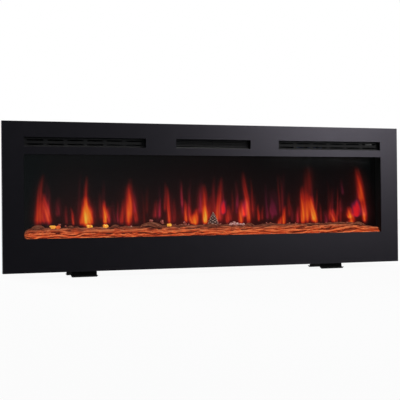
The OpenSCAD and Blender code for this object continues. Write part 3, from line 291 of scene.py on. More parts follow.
def plain_finish(name, colour, metallic, roughness, grain, height, mottling):
    """A base colour with soft mottling, a grain in the bump and a little change in the sheen."""
    material, tree, shader, place = new_material(name)
    dark = [c * (1 - mottling) for c in colour[:3]] + [1]
    light = [min(1, c * (1 + mottling)) for c in colour[:3]] + [1]
    cloud = add(tree, "ShaderNodeTexNoise", {"Vector": place},
                {"Scale": per(MOTTLE_MM), "Detail": 4.0})
    tone = add(tree, "ShaderNodeValToRGB", {"Fac": cloud.outputs[0]},
               stops=[(0.3, dark), (0.7, light)])
    peel = add(tree, "ShaderNodeTexNoise", {"Vector": place}, {"Scale": per(grain), "Detail": 2.0})
    sheen = add(tree, "ShaderNodeMapRange", {"Value": cloud.outputs[0]},
                {"To Min": roughness * 0.92, "To Max": min(1.0, roughness * 1.08)})
    bump = add(tree, "ShaderNodeBump", {"Height": peel.outputs[0]},
               {"Distance": height * MM, "Strength": 0.6})
    shader.inputs["Metallic"].default_value = metallic
    if name == "powder_coated_steel":
        shader.inputs["Specular Tint"].default_value = linear("#f4ecff")
    if name in LOW_SHEEN:
        shader.inputs["Specular IOR Level"].default_value = LOW_SHEEN[name]
    tree.links.new(tone.outputs[0], shader.inputs["Base Color"])
    tree.links.new(sheen.outputs[0], shader.inputs["Roughness"])
    tree.links.new(bump.outputs[0], shader.inputs["Normal"])
    return material


def galvanised_sheet():
    """Steel sheet dipped in zinc: crystals that catch the light one by one."""
    material, tree, shader, place = new_material("galvanised_sheet")
    spangle = add(tree, "ShaderNodeTexVoronoi", {"Vector": place}, {"Scale": per(SPANGLE_MM)})
    tone = add(tree, "ShaderNodeValToRGB", {"Fac": spangle.outputs["Color"]},
               stops=[(0.2, linear("#8f9396")), (0.8, linear("#b3b7ba"))])
    sheen = add(tree, "ShaderNodeMapRange", {"Value": spangle.outputs["Color"]},
                {"To Min": 0.3, "To Max": 0.48})
    shader.inputs["Metallic"].default_value = 1.0
    tree.links.new(tone.outputs[0], shader.inputs["Base Color"])
    tree.links.new(sheen.outputs[0], shader.inputs["Roughness"])
    return material


def float_glass():
    """Soda-lime float glass, 4 mm: clear, with a plain surface reflection that grows from 4 %
    face on with the fifth power of the slant, alike on both faces."""
    material, tree, shader, place = new_material("float_glass")
    out = next(n for n in tree.nodes if n.type == "OUTPUT_MATERIAL")
    slant = add(tree, "ShaderNodeLayerWeight", sockets={"Blend": 0.5})
    steep = add(tree, "ShaderNodeMath", {0: slant.outputs["Facing"]}, {1: 5.0}, operation="POWER")
    edge = add(tree, "ShaderNodeMapRange", {"Value": steep.outputs[0]},
               {"To Min": 0.04, "To Max": 1.0})
    clear = add(tree, "ShaderNodeBsdfTransparent", sockets={"Color": linear("#eef2f2")})
    gloss = add(tree, "ShaderNodeBsdfGlossy", sockets={"Roughness": 0.03})
    mix = add(tree, "ShaderNodeMixShader",
              {0: edge.outputs[0], 1: clear.outputs[0], 2: gloss.outputs[0]})
    tree.nodes.remove(shader)
    tree.links.new(mix.outputs[0], out.inputs["Surface"])
    return material


def motor_iron():
    """Stacked motor laminations: thin dark lines between sheets of plain iron."""
    material, tree, shader, place = new_material("stacked_motor_iron")
    lines = add(tree, "ShaderNodeTexWave", {"Vector": place},
                {"Scale": per(LAMINATION_MM) / WAVES_PER_UNIT, "Distortion": 0.0},
                bands_direction="X")
    tone = add(tree, "ShaderNodeValToRGB", {"Fac": lines.outputs[0]},
               stops=[(0.15, linear("#33302c")), (0.5, linear("#77736b"))])
    shader.inputs["Metallic"].default_value = 1.0
    shader.inputs["Roughness"].default_value = 0.45
    tree.links.new(tone.outputs[0], shader.inputs["Base Color"])
    return material


def circuit_board(name, mask, copper):
    """Fibreglass board under solder mask, with the copper tracks just showing through."""
    material, tree, shader, place = new_material(name)
    tracks = add(tree, "ShaderNodeTexBrick", {"Vector": place},
                 {"Color1": linear(mask), "Color2": linear(mask), "Mortar": linear(copper),
                  "Scale": per(TRACK_MM), "Mortar Size": 0.012})
    shader.inputs["Roughness"].default_value = 0.3
    tree.links.new(tracks.outputs["Color"], shader.inputs["Base Color"])
    return material


def flame_screen_acrylic(glow):
    """Smoked acrylic with a smooth face that shows the flames thrown on it from behind."""
    material, tree, shader, place = new_material("smoked_acrylic")
    picture = add(tree, "ShaderNodeAttribute", attribute_name="firelight")
    shader.inputs["Base Color"].default_value = linear("#0b0f12")
    shader.inputs["Roughness"].default_value = 0.07
    shader.inputs["Specular IOR Level"].default_value = 0.3
    shader.inputs["Emission Strength"].default_value = glow
    tree.links.new(picture.outputs["Color"], shader.inputs["Emission Color"])
    return material


def driftwood_resin(colours, glow):
    """Cast resin painted as driftwood: grey on raised parts and brown in the furrows, from its
    paint and grain and partly as painted shade in the furrows and painted highlight on raised
    parts. The orange light of the
    LEDs inside is painted light: a lit copy of the colours glows on the faces towards the front,
    and the plain colours glow more weakly where that light is gone. The piece's attributes say how
    much of that painted light reaches a point, and how deep it lies in a furrow, with the grain."""
    material, tree, shader, place = new_material("painted_driftwood_resin")
    stretch = add(tree, "ShaderNodeMapping", {"Vector": place},
                  {"Scale": (1 / FIBRE_STRETCH, 1.0, 1.0)})
    fibre = add(tree, "ShaderNodeTexNoise", {"Vector": stretch.outputs[0]},
                {"Scale": per(FIBRE_MM), "Detail": 5.0, "Roughness": 0.6})
    painted_led_light = add(tree, "ShaderNodeAttribute", attribute_name="light")
    ridge = add(tree, "ShaderNodeAttribute", attribute_name="ridge")
    # the grain, with painted shade in the furrows and painted highlight on raised parts from the
    # attribute
    grain_and_painted_shade = add(tree, "ShaderNodeMath", {0: fibre.outputs[0], 1: ridge.outputs["Fac"]},
                 operation="ADD")
    # the plain colours: brown in the furrows partly as painted shade, lightest on raised bark
    # streaks as painted highlight
    wood = add(tree, "ShaderNodeValToRGB", {"Fac": grain_and_painted_shade.outputs[0]},
               stops=[(0.3, colours.driftwood_brown), (0.6, colours.driftwood_grey),
                      (0.76, linear("#8a5640"))])
    # a lit copy of the same colours: the painted LED light, darker in the furrows as painted shade
    lit = add(tree, "ShaderNodeValToRGB", {"Fac": grain_and_painted_shade.outputs[0]},
              stops=[(0.24, linear("#561808")), (0.36, linear("#9c2e10")),
                     (0.48, colours.ember_orange), (0.62, linear("#e2582a")),
                     (0.8, linear("#fa7c40"))])
    tone = add(tree, "ShaderNodeMix", {"Factor": painted_led_light.outputs["Fac"], 6: wood.outputs[0],
                                       7: lit.outputs[0]}, data_type="RGBA")
    # the glow is painted light, strongest where the painted LED light falls
    strength = add(tree, "ShaderNodeMapRange", {"Value": painted_led_light.outputs["Fac"]},
                   {"To Min": 0.5 * glow, "To Max": 1.12 * glow})
    bump = add(tree, "ShaderNodeBump", {"Height": fibre.outputs[0]},
               {"Distance": 0.5 * MM, "Strength": 0.7})
    shader.inputs["Roughness"].default_value = 0.75
    shader.inputs["Specular IOR Level"].default_value = 0.2
    tree.links.new(wood.outputs[0], shader.inputs["Base Color"])
    tree.links.new(tone.outputs[2], shader.inputs["Emission Color"])
    tree.links.new(strength.outputs[0], shader.inputs["Emission Strength"])
    tree.links.new(bump.outputs[0], shader.inputs["Normal"])
    return material


def lit_resin(name, colour, core, strength, grain):
    """Clear resin lit from below, that light painted in as a glow of its own colour: bright in its
    body, deeper in soft blotches.
    """
    material, tree, shader, place = new_material(name)
    cloud = add(tree, "ShaderNodeTexNoise", {"Vector": place}, {"Scale": per(grain), "Detail": 3.0})
    tone = add(tree, "ShaderNodeValToRGB", {"Fac": cloud.outputs[0]},
               stops=[(0.35, colour), (0.62, core)])
    shader.inputs["Roughness"].default_value = 0.2
    shader.inputs["Emission Strength"].default_value = strength
    tree.links.new(tone.outputs[0], shader.inputs["Base Color"])
    tree.links.new(tone.outputs[0], shader.inputs["Emission Color"])
    return material


def frosted_cone_painted_shade_and_glow():
    """Cast resin cone: nearly black between the scales, which is painted shade, and frosted white
    in specks on their tips; the whole colour glows a little, as painted light.
    """
    material, tree, shader, place = new_material("frosted_resin_cone")
    tip = add(tree, "ShaderNodeAttribute", attribute_name="tip")
    speck = add(tree, "ShaderNodeTexNoise", {"Vector": place},
                {"Scale": per(FROST_MM), "Detail": 3.0})
    both = add(tree, "ShaderNodeMath", {0: tip.outputs["Fac"], 1: speck.outputs[0]},
               operation="MULTIPLY")
    tone = add(tree, "ShaderNodeValToRGB", {"Fac": both.outputs[0]},
               stops=[(0.08, linear("#1c0907")), (0.26, linear("#6c352b")),
                      (0.46, linear("#e0b8a8"))])
    shader.inputs["Roughness"].default_value = 0.6
    shader.inputs["Emission Strength"].default_value = 0.42
    tree.links.new(tone.outputs[0], shader.inputs["Base Color"])
    tree.links.new(tone.outputs[0], shader.inputs["Emission Color"])
    return material


class FIREPLACE_OT_finishes(bpy.types.Operator):
    """Give every part of the case and the mechanism its finish"""
    bl_idname = "fireplace.finishes"
    bl_label = "Finishes"

    def execute(self, context):
        colours = context.scene.fireplace_colours
        for name, (colour, *look, nodes) in FINISHES.items():
            base = linear(colour) if colour[0] == "#" else list(getattr(colours, colour))
            dress(plain_finish(name, base, *look), nodes)
        dress(galvanised_sheet(), ZINC_NODES)
        dress(float_glass(), "window_glass")
        dress(motor_iron(), "rotor_motor blower_motor")
        dress(circuit_board("green_circuit_board", "#14502c", "#1d6b3c"),
              "control_board button_board")
        dress(circuit_board("white_led_board", "#e9e6da", "#cfcbbd"),
              "ember_led_board flame_led_board")
        return {"FINISHED"}


# ------------------------------------------------------------------ flames

# Each flame: middle, foot, height, half width and lean in mm, heat, hue (0 orange, 1 crimson).
# A broad flame is several that overlap.
FLAMES = [
    (-640, 190, 155, 8, 24, 0.55, 0.0), (-628, 190, 95, 8, 16, 0.50, 0.1),
    (-596, 190, 98, 8, -24, 0.62, 0.04), (-612, 192, 70, 12, 0, 0.42, 0.08),
    (-566, 215, 60, 8, 2, 0.3, 0.5), (-536, 188, 60, 4, -4, 0.3, 0.3),
    (-512, 184, 56, 3, -8, 0.62, 0.1), (-466, 182, 92, 12, 0, 1.15, 0.0),
    (-468, 190, 150, 6, 4, 0.66, 0.0), (-450, 184, 60, 9, -6, 0.78, 0.0),
    (-484, 184, 60, 6, 8, 0.6, 0.0), (-398, 186, 76, 6, -3, 1.25, 0.0),
    (-384, 186, 56, 5, -10, 0.45, 0.2), (-352, 190, 72, 2, 0, 0.36, 0.4),
    (-312, 184, 130, 11, 4, 0.74, 0.0), (-308, 210, 125, 9, 2, 0.42, 0.05),
    (-284, 190, 95, 7, -12, 0.46, 0.2), (-338, 186, 80, 7, 10, 0.5, 0.15),
    (-214, 205, 60, 7, 8, 0.42, 0.35), (-196, 206, 66, 4, 2, 0.32, 0.2),
    (-160, 184, 125, 5, -8, 0.75, 0.1), (-176, 230, 95, 4, 4, 0.36, 0.2),
    (-140, 190, 80, 5, 0, 0.26, 0.3), (-110, 245, 85, 3, -4, 0.4, 0.3),
    (-96, 188, 74, 5, -4, 0.86, 0.1), (-80, 190, 60, 5, -6, 0.36, 0.1),
    (-60, 176, 56, 8, 6, 0.92, 0.0), (-72, 180, 34, 8, 4, 0.72, 0.0),
    (-24, 184, 130, 8, 0, 0.8, 0.0), (-20, 182, 60, 7, 0, 0.98, 0.0),
    (-40, 220, 100, 8, 4, 0.3, 0.3), (-6, 200, 80, 7, 6, 0.3, 0.2),
    (24, 186, 150, 8, 22, 0.62, 0.05), (38, 190, 95, 9, 8, 0.5, 0.35),
    (50, 216, 50, 8, 6, 0.66, 1.0), (66, 182, 62, 7, 4, 0.55, 0.2),
    (78, 190, 40, 6, 0, 0.3, 0.3), (152, 186, 168, 8, -24, 0.72, 0.05),
    (120, 180, 80, 9, 2, 0.82, 0.05), (134, 205, 64, 10, 6, 0.85, 0.6),
    (106, 240, 90, 6, -4, 0.26, 0.5), (192, 188, 58, 4, -4, 0.5, 0.0),
    (206, 192, 50, 3, 2, 0.32, 0.2), (258, 205, 95, 15, -8, 0.24, 0.9),
    (246, 190, 60, 8, 0, 0.2, 0.8), (294, 172, 66, 6, 6, 0.86, 0.0),
    (276, 168, 34, 7, 10, 0.72, 0.05), (330, 184, 60, 5, -4, 0.24, 0.6),
    (374, 176, 130, 8, -2, 0.92, 0.0), (352, 176, 60, 6, 4, 0.5, 0.3),
    (390, 190, 185, 15, 12, 0.42, 0.0), (394, 180, 104, 8, 4, 0.46, 0.0),
    (420, 184, 88, 9, -12, 1.2, 0.0), (430, 176, 46, 7, -6, 0.8, 0.0),
    (452, 180, 70, 3, -6, 0.3, 0.2), (474, 172, 50, 8, -4, 0.36, 0.6),
    (506, 178, 48, 10, -8, 0.8, 0.1), (488, 184, 70, 3, 6, 0.3, 0.2),
    (520, 172, 130, 2, 6, 0.42, 0.2), (536, 172, 100, 2, 0, 0.32, 0.3),
    (546, 285, 55, 5, -8, 0.24, 0.8), (575, 192, 42, 10, -2, 0.98, 0.0),
    (582, 168, 38, 11, 4, 0.94, 0.0), (604, 199, 60, 17, 2, 0.86, 0.9),
    (640, 200, 40, 10, 0, 0.36, 0.6), (642, 184, 190, 11, -36, 0.7, 0.0),
    (622, 262, 112, 12, -12, 0.4, 0.0), (604, 200, 110, 7, 12, 0.26, 0.8),
    (640, 178, 36, 6, -4, 0.66, 0.2),
]

# Faint flames between them: how many, and the spans that the same seven numbers are drawn from
WISPS = 60
WISP_SPANS = [(-640, 650), (176, 225), (40, 140), (2, 7), (-12, 12), (0.08, 0.24), (0, 1)]
LEVEL_LIMIT = 1.35       # the level that many flames over one another never pass


def ramp(level, stops):
    """Linear colours for an array of levels, from stops of level and colour."""
    places = [0.0] + [stop[0] for stop in stops]
    colours = np.array([[0, 0, 0]] + [list(stop[1])[:3] for stop in stops])
    return np.stack([np.interp(level, places, colours[:, c]) for c in range(3)], -1)


def flame_picture(x, z, colours):
    """Colour of the screen at x and z in millimetres. A flame's half width swells at a fifth of
    its height and runs out to a point. Its light is a bell across that width with a wider, dimmer
    bell round it, and fades upwards. Levels add up and bend over, and a ramp turns them into
    colour: one for the orange flames, one for the crimson ones."""
    rng = np.random.default_rng(7)
    wisps = [tuple(rng.uniform(*span) for span in WISP_SPANS) for _ in range(WISPS)]
    levels = np.zeros((2,) + x.shape)
    for k, (middle, foot, height, width, lean, heat, hue) in enumerate(FLAMES + wisps):
        t = (z - foot) / (height * 1.12)
        up = np.clip(t, 0, 1)
        half = 1.4 * width * (up + 0.14) ** 0.3 * (1 - up) ** min(0.42, 2.4 / width) + 1.4
        across = (x - middle - lean * up ** 1.3 - 1.6 * np.sin(7 * up + 1.7 * k) * up) / half
        body = np.exp(-1.15 * np.abs(across) ** 2.6) * (1 + 0.2 * np.sin(5 * across + 9 * up + k))
        halo = np.exp(-(across / 2.2) ** 2)
        fade = (1.12 - 0.5 * up) * (1 - up ** 2.8) * np.clip((t + 0.1) / 0.16, 0, 1) * (t < 1)
        level = heat * (0.84 * body + 0.13 * halo) * fade
        levels += np.array([1 - hue, hue])[:, None] * level
    # The dim light between the flames: brightest near the middle, and fading upwards
    haze = (0.07 + 0.04 * waves(x / 1400, 3) + 0.06 * np.exp(-((x - 60) / 300) ** 2))
    haze = haze * np.exp(-np.maximum(z - 205, 0) / 75) * np.clip((660 - np.abs(x)) / 60, 0.15, 1)
    warm, cool = LEVEL_LIMIT * (1 - np.exp(-levels / LEVEL_LIMIT))
    return (ramp(warm + haze, [(0.1, linear("#320704")), (0.28, colours.flame_deep),
                               (0.5, colours.flame_red), (0.74, colours.flame_orange),
                               (0.95, colours.flame_amber), (1.15, colours.flame_yellow)])
            + ramp(cool, [(0.12, linear("#22060f")), (0.28, colours.flame_purple),
                          (0.52, colours.flame_crimson)]))


class FIREPLACE_OT_flames(bpy.types.Operator):
    """Make the flame screen, a flat box whose front is a fine grid that holds the picture"""
    bl_idname = "fireplace.flames"
    bl_label = "Flames"

    def execute(self, context):
        sizes, colours = context.scene.fireplace_sizes, context.scene.fireplace_colours
        low, high = (np.array(c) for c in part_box("flame_screen"))
        columns = int((high[0] - low[0]) / sizes.flame_grid)
        rows = int((high[2] - low[2]) / sizes.flame_grid)
        x = np.linspace(low[0], high[0], columns)[:, None]
        front = np.linspace(low[2], high[2], rows)
        z = np.concatenate([front, [high[2], low[2]]])[None, :]
        y = np.concatenate([np.full(rows, low[1]), [high[1], high[1]]])[None, :]
        rings = np.stack(np.broadcast_arrays(x, y, z), -1)[:, ::-1]
        middle = (low + high) / 2
        poles = [(low[0], middle[1], middle[2]), (high[0], middle[1], middle[2])]
        skin = shell(rings, poles)
        picture = flame_picture(skin[0][:, 0] / MM, skin[0][:, 2] / MM, colours)
        picture[skin[0][:, 1] > low[1] + 0.5 * MM] = 0       # all but the front stays dark
        picture = np.concatenate([picture, np.ones((len(picture), 1))], -1)
        piece("flame_picture_screen", [skin], flame_screen_acrylic(sizes.flame_glow), FIXED,
              smooth=False, replaces=["flame_screen"],
              values={"firelight": picture})
        return {"FINISHED"}


# ------------------------------------------------------------------ fuel bed

LOG_PITCH = 92.0         # mm from log to log along a row, as in the solids
LOG_R = 9.5              # radius of a log in mm
ROWS = 3
BED_HALF = 700           # mm from the middle within which logs are laid out
TWIGS = 300
RAY_SPAN = 135           # degrees, from straight ahead over the top to the back
SMOOTH_RAYS = 6          # rays to each side whose mean tells a raised part from a furrow, for painted shade in furrows and painted highlight on raised parts
NO_WALL = 999            # mm of room along a ray that meets no wall
UPRIGHT = 0.01           # cosine under which a ray counts as upright
LEFT_ROUND, RIGHT_ROUND = 32, 9      # mm in which the two ends of the bed run out
END_RISE = 20            # mm by which the rounded ends come up off the tray
TIP_SHARE = 0.15         # share of a section's size that is left at the tips
# Lumps of bark: middle along the bed, half length, radius and height in mm
HUMPS = [
    (-638, 34, 12, 50), (-523, 26, 9, 47), (-364, 26, 10, 48), (-232, 52, 14, 54),
    (-117, 26, 9, 47), (5, 46, 12, 48), (150, 30, 9, 48), (232, 36, 8, 44), (305, 26, 7, 42),
    (392, 42, 8, 43), (470, 22, 6, 42), (527, 24, 8, 45), (610, 38, 11, 49), (668, 20, 6, 40),
]


def bed_frame():
    """The bed's depth range, the height of its tray and the eye of its sections, in mm."""
    low, high = (np.array(c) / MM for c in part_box("log_bed_middle"))
    return low[1], high[1], low[2], high[1] - 0.9 * LOG_R


def ray_hit(depth, height, radius, angle):
    """Distance from the eye to the far side of a round log, along rays at an angle."""
    along = -depth * np.cos(angle) + height * np.sin(angle)
    miss = depth ** 2 + height ** 2 - along ** 2
    room = radius ** 2 - miss
    return np.where(room > 0, along + np.sqrt(np.maximum(room, 0)), 0)


def bed_surface(x, angle, front, eye):
    """Reach of the bed from the eye over a grid of x and angle: the furthest of a rounded
    filling, three rows of leaning logs, lumps of bark along the top and a scatter of thin twigs
    over all of it. A log's skin is where the ray leaves its round section."""
    row_d = np.array([front + LOG_R + 1, front + LOG_R + 4, eye]) - eye
    row_z = np.array([LOG_R + 5, 2.6 * LOG_R + 3, 3.8 * LOG_R])
    row_r = np.array([1, 0.85, 0.9]) * LOG_R
    core = ((np.abs(np.cos(angle)) / (eye - front - 3)) ** 3
            + (np.sin(angle) / (3.5 * LOG_R)) ** 3) ** (-1 / 3)
    reach = core + 0 * x
    # Logs, in the places that the solids have
    half = int(BED_HALF / LOG_PITCH) + 2
    for row in range(ROWS):
        for i in range(-half, half + 1):
            n = row * 100 + i
            middle = (i + 0.5 * (row % 2) + 0.3 * (chance(n) - 0.5)) * LOG_PITCH
            t = (x - middle) / (LOG_PITCH * (0.52 + 0.2 * chance(n + 11)))
            along = np.clip(t, -1, 1)
            radius = row_r[row] * (0.8 + 0.35 * chance(n + 41)) * np.sqrt(1 - np.abs(along) ** 6)
            radius = radius * (1 + 0.1 * np.sin(np.radians(500 * along + 50 * n)))
            depth = row_d[row] + 5 * (chance(n + 37) - 0.5) * along
            height = (row_z[row] + 9 * (chance(n + 23) - 0.5) * along
                      + 3 * np.cos(np.radians(180 * along)) * (chance(n + 5) - 0.5))
            skin = ray_hit(depth, height, radius, angle)
            reach = np.maximum(reach, np.where(np.abs(t) < 1, skin, 0))
    # Lumps of bark, round in section, that shrink and sink towards both ends
    # where bark lies on top; it takes painted LED light away, as painted shade, and streaks the
    # colour
    bark = np.zeros_like(reach)
    for middle, length, radius, top in HUMPS:
        t = np.clip((x - middle) / length, -1, 1)
        swell = (1 - t ** 2) ** 0.7
        lump = ray_hit(-5 + 3 * t, top - radius * 0.9, radius * (0.25 + swell), angle)
        lump = np.where(np.abs(t) < 1, lump - 14 * (1 - swell), 0)
        bark = np.maximum(bark, np.clip((lump - reach) / 3, 0, 1))
        reach = np.maximum(reach, lump)
    # Twigs: thin round rods that run along the bed and sweep a little round it
    rng = np.random.default_rng(11)
    for k in range(TWIGS):
        middle, length = rng.uniform(-690, 690), rng.uniform(22, 84)
        t = (x - middle) / length
        along = np.clip(t, -1, 1)
        sweep = np.radians(rng.uniform(6, 96)) + np.radians(rng.uniform(-9, 14)) * along
        bend = np.radians(rng.uniform(-7, 7)) * np.cos(3 * along + k)
        radius = rng.uniform(1.1, 2.7) * np.sqrt(1 - along ** 2) + 0.01
        stand = (np.interp(np.degrees(sweep), [0, 35, 60, 90], [26.5, 34, 40, 39])
                 + rng.uniform(-1, 3))
        off = (angle - sweep - bend) * stand
        lift = stand + 1.3 * np.sqrt(np.maximum(radius ** 2 - off ** 2, 0))
        reach = np.maximum(reach, np.where((np.abs(t) < 1) & (np.abs(off) < radius), lift, 0))
    return reach, bark


def smooth_rows(grid, width):
    """A running mean over the second direction of a grid, with its ends repeated."""
    padded = np.pad(grid, ((0, 0), (width, width)), mode="edge")
    total = np.cumsum(np.pad(padded, ((0, 0), (1, 0))), axis=1)
    return (total[:, 2 * width + 1:] - total[:, :-2 * width - 1]) / (2 * width + 1)


def bark_fibre(x, angle):
    """Furrows: two sets of waves along the logs that slant against each other."""
    return (waves(angle * 40 + x * 0.02, 5, 7, 0.05, 0.3)
            + waves(angle * 60 - x * 0.03, 6, 7, 0.1, 0.4))


def worn_top(x, angle):
    """The share by which the top of the bed is lowered: a slope over the last 100 mm at the
    right end, and a bell-shaped dip between the crystals and the next log."""
    slope = 0.34 * np.clip((x - 575) / 100, 0, 1)
    dip = 0.1 * np.exp(-((x - 175) / 22) ** 2)
    return (slope + dip) * np.clip(np.sin(angle) * 2 - 0.6, 0, 1)


def wall_distance(angle, front, back, eye):
    """Distance from the eye along a ray to the upright plane before or behind the bed."""
    across = np.cos(angle)
    behind = np.where(across < -UPRIGHT, (back - eye) / np.maximum(-across, UPRIGHT), NO_WALL)
    return np.where(across > UPRIGHT, (eye - front) / np.maximum(across, UPRIGHT), behind)


def bed_light(x, angle, bark, full):
    """How much painted LED light a point gets, from 0 to 1, never under 0.12: strongest on the
    faces towards the front and falling to the top along a wavy line, weaker at the very bottom,
    dimmed by bark, by slow waves along the bed and towards its two ends."""
    turn = np.degrees(angle) + 12 * waves(x / 260, 9)
    light = np.clip((82 - turn) / 46, 0, 1) * np.ones_like(x) * (1 - 0.85 * bark)
    light = light * np.clip(1.02 + 0.25 * waves(x / 90, 4), 0, 1) * np.clip(0.6 + turn / 40, 0, 1)
    return 0.12 + 0.88 * light * (0.4 + 0.6 * full)


class FIREPLACE_OT_fuel_bed(bpy.types.Operator):
    """Make the moulded driftwood bed: each section is the reach of rays from its eye, less
    what is worn off, plus the furrows, and the two ends of the bed are rounded as ellipses"""
    bl_idname = "fireplace.fuel_bed"
    bl_label = "Fuel bed"

    def execute(self, context):
        sizes, colours = context.scene.fireplace_sizes, context.scene.fireplace_colours
        material = driftwood_resin(colours, sizes.bed_glow)
        front, back, tray, eye = bed_frame()
        ends = [c / MM for c in (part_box("log_bed_left")[0][0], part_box("log_bed_right")[1][0])]
        for node in ("log_bed_left", "log_bed_middle", "log_bed_right"):
            low, high = (np.array(c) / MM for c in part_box(node))
            x = np.linspace(low[0], high[0], int((high[0] - low[0]) * MM / sizes.bed_grid))[:, None]
            angle = np.radians(np.linspace(0, RAY_SPAN, sizes.bed_rays))[None, :]
            reach, bark = bed_surface(x, angle, front, eye)
            # how far a point stands out of its neighbours; it sets painted shade in the furrows and
            # painted highlight on raised parts
            stand = reach - smooth_rows(reach, SMOOTH_RAYS)
            fibre = bark_fibre(x, angle)
            reach = reach + sizes.bark_depth / MM * fibre * np.clip(np.sin(angle) * 3, 0, 1)
            reach = reach * (1 - worn_top(x, angle))
            reach = np.minimum(reach, wall_distance(angle, front, back, eye))
            from_end = np.clip(np.minimum((x - ends[0] - 5) / LEFT_ROUND,
                                          (ends[1] - x + 2) / RIGHT_ROUND), 0, 1)
            full = TIP_SHARE + (1 - TIP_SHARE) * np.sqrt(1 - (1 - from_end) ** 2)
            lift = END_RISE * (1 - full)
            y = eye - full * reach * np.cos(angle)
            z = tray + lift + full * reach * np.sin(angle)
            foot_y = np.broadcast_to(np.array([[back, eye]]), (len(x), 2))
            foot_z = tray + lift * np.ones((1, 2))
            y, z = np.concatenate([y, foot_y], 1), np.concatenate([z, foot_z], 1)
            rings = np.stack(np.broadcast_arrays(x, y, z), -1) * MM
            poles = [(end * MM, eye * MM, (tray + 2 + rise) * MM)
                     for end, rise in ((low[0], lift[0, 0]), (high[0], lift[-1, 0]))]
            # painted light: how much LED light each point gets; then painted shade and highlight
            # from standing out, with the grain and the bark's streaks
            light = bed_light(x, angle, bark, full)
            grain = waves(angle * 34 + x * 0.12, 8, 6, 0.1, 0.32)
            ridge = np.clip(0.075 * stand + 0.06 * fibre + 0.45 * bark * grain, -0.28, 0.26)
            pad = np.zeros((len(x), 2))
            values = {key: np.concatenate([np.concatenate([data, pad], 1).ravel(), [0, 0]])
                      for key, data in (("light", light), ("ridge", ridge))}
            piece(node.replace("log_bed", "driftwood"), [shell(rings, poles)], material, FIXED,
                  replaces=[node], values=values)
        return {"FINISHED"}


def pebble(centre, radii, seed, m=14, n=20, square=1.0):
    """A lumpy stone: an ellipsoid over latitude and longitude, swollen by a few slow waves, each
    of its coordinates raised to a power below one where it is to be squarish."""
    lat = np.linspace(0, math.pi, m + 2)[1:-1][:, None]
    lon = np.linspace(0, 2 * math.pi, n, endpoint=False)[None, :]
    rng = np.random.default_rng(seed)
    a, b, c = rng.uniform(0, 6, 3)
    swell = (1 + 0.13 * np.sin(2 * lon + a) * np.sin(lat)
             + 0.1 * np.sin(3 * lon + b) * np.sin(2 * lat) + 0.08 * np.cos(3 * lat + c))
    unit = np.stack(np.broadcast_arrays(np.sin(lat) * np.cos(lon), np.sin(lat) * np.sin(lon),
                                        -np.cos(lat) + 0 * lon), -1)
    unit = np.sign(unit) * np.abs(unit) ** square
    rings = np.array(centre) + unit * swell[..., None] * np.array(radii)
    tip = np.array([0, 0, 0.02 * radii[2]])
    poles = [rings[0].mean(0) - tip, rings[-1].mean(0) + tip]
    return shell(rings, poles)


# Clear lumps: middle along the bed, half width and height over the seats, in mm
LUMPS = [(-587, 10, 4), (-568, 7, 3), (-457, 10, 4), (-399, 10, 4), (-164, 9, 4)]
LUMP_SECTION = (8, 6)    # their half depth and half height, in mm
DIM_LUMP = 1             # the one whose light is blocked by its neighbour


class FIREPLACE_OT_embers(bpy.types.Operator):
    """Make the clear lumps that glow between the logs"""
    bl_idname = "fireplace.embers"
    bl_label = "Embers"

    def execute(self, context):
        colours = context.scene.fireplace_colours
        low, high = (np.array(c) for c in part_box("ember_lumps"))
        depth = (low[1] + high[1]) / 2 - 3 * MM
        skins = [pebble((x * MM, depth, low[2] + h * MM), np.array((r, *LUMP_SECTION)) * MM, k,
                        square=0.7) for k, (x, r, h) in enumerate(LUMPS)]
        # The lumps glow, as painted light from the LEDs below; the second resin is a shaded copy
        # for the lump in its neighbour's shade: painted shade, with darker colours and a weaker
        # glow
        bright = lit_resin("clear_amber_resin", linear("#f06e24"), colours.ember_yellow, 1.02, 9)
        dim = lit_resin("deep_amber_resin", linear("#d8481c"), linear("#f57a36"), 0.85, 9)
        dim_skin = skins.pop(DIM_LUMP)
        piece("amber_lumps", skins, bright, FIXED, replaces=["ember_lumps"])
        piece("deep_amber_lump", [dim_skin], dim, FIXED, replaces=["ember_lumps"])
        return {"FINISHED"}


# Cone: middle along the bed, radii along and across it and height, how far its middle lies
# behind the front of its solid and how deep it is sunk under it, in mm
CONE_X, CONE_RADII, CONE_HEIGHT = 5, (23, 12), 50
CONE_BEHIND, CONE_SUNK = 13, 2


def cone_rings(centre, radii, height, rows=60, columns=48):
    """A pine cone: an ellipse that narrows towards the tip almost in a straight line and
    bulges by a slow sine, with scales that stand out where five spirals cross their mirror
    image. Gives the rings and how far each point stands out, from 0 to 1."""
    t = np.linspace(0, 1, rows)[:, None]
    turn = np.linspace(0, 2 * math.pi, columns, endpoint=False)[None, :]
    scale = np.abs(np.sin(2.5 * turn + 16 * t)) * np.abs(np.sin(2.5 * turn - 16 * t))
    envelope = (1 - t) ** 0.8 * (0.92 + 0.12 * np.sin(3 * t)) + 0.04
    size = envelope * (0.72 + 0.34 * scale)
    x = centre[0] + radii[0] * size * np.cos(turn)
    y = centre[1] + radii[1] * size * np.sin(turn)
    z = centre[2] + height * (t + 0.03 * scale)
    return np.stack([x, y, z], -1), scale


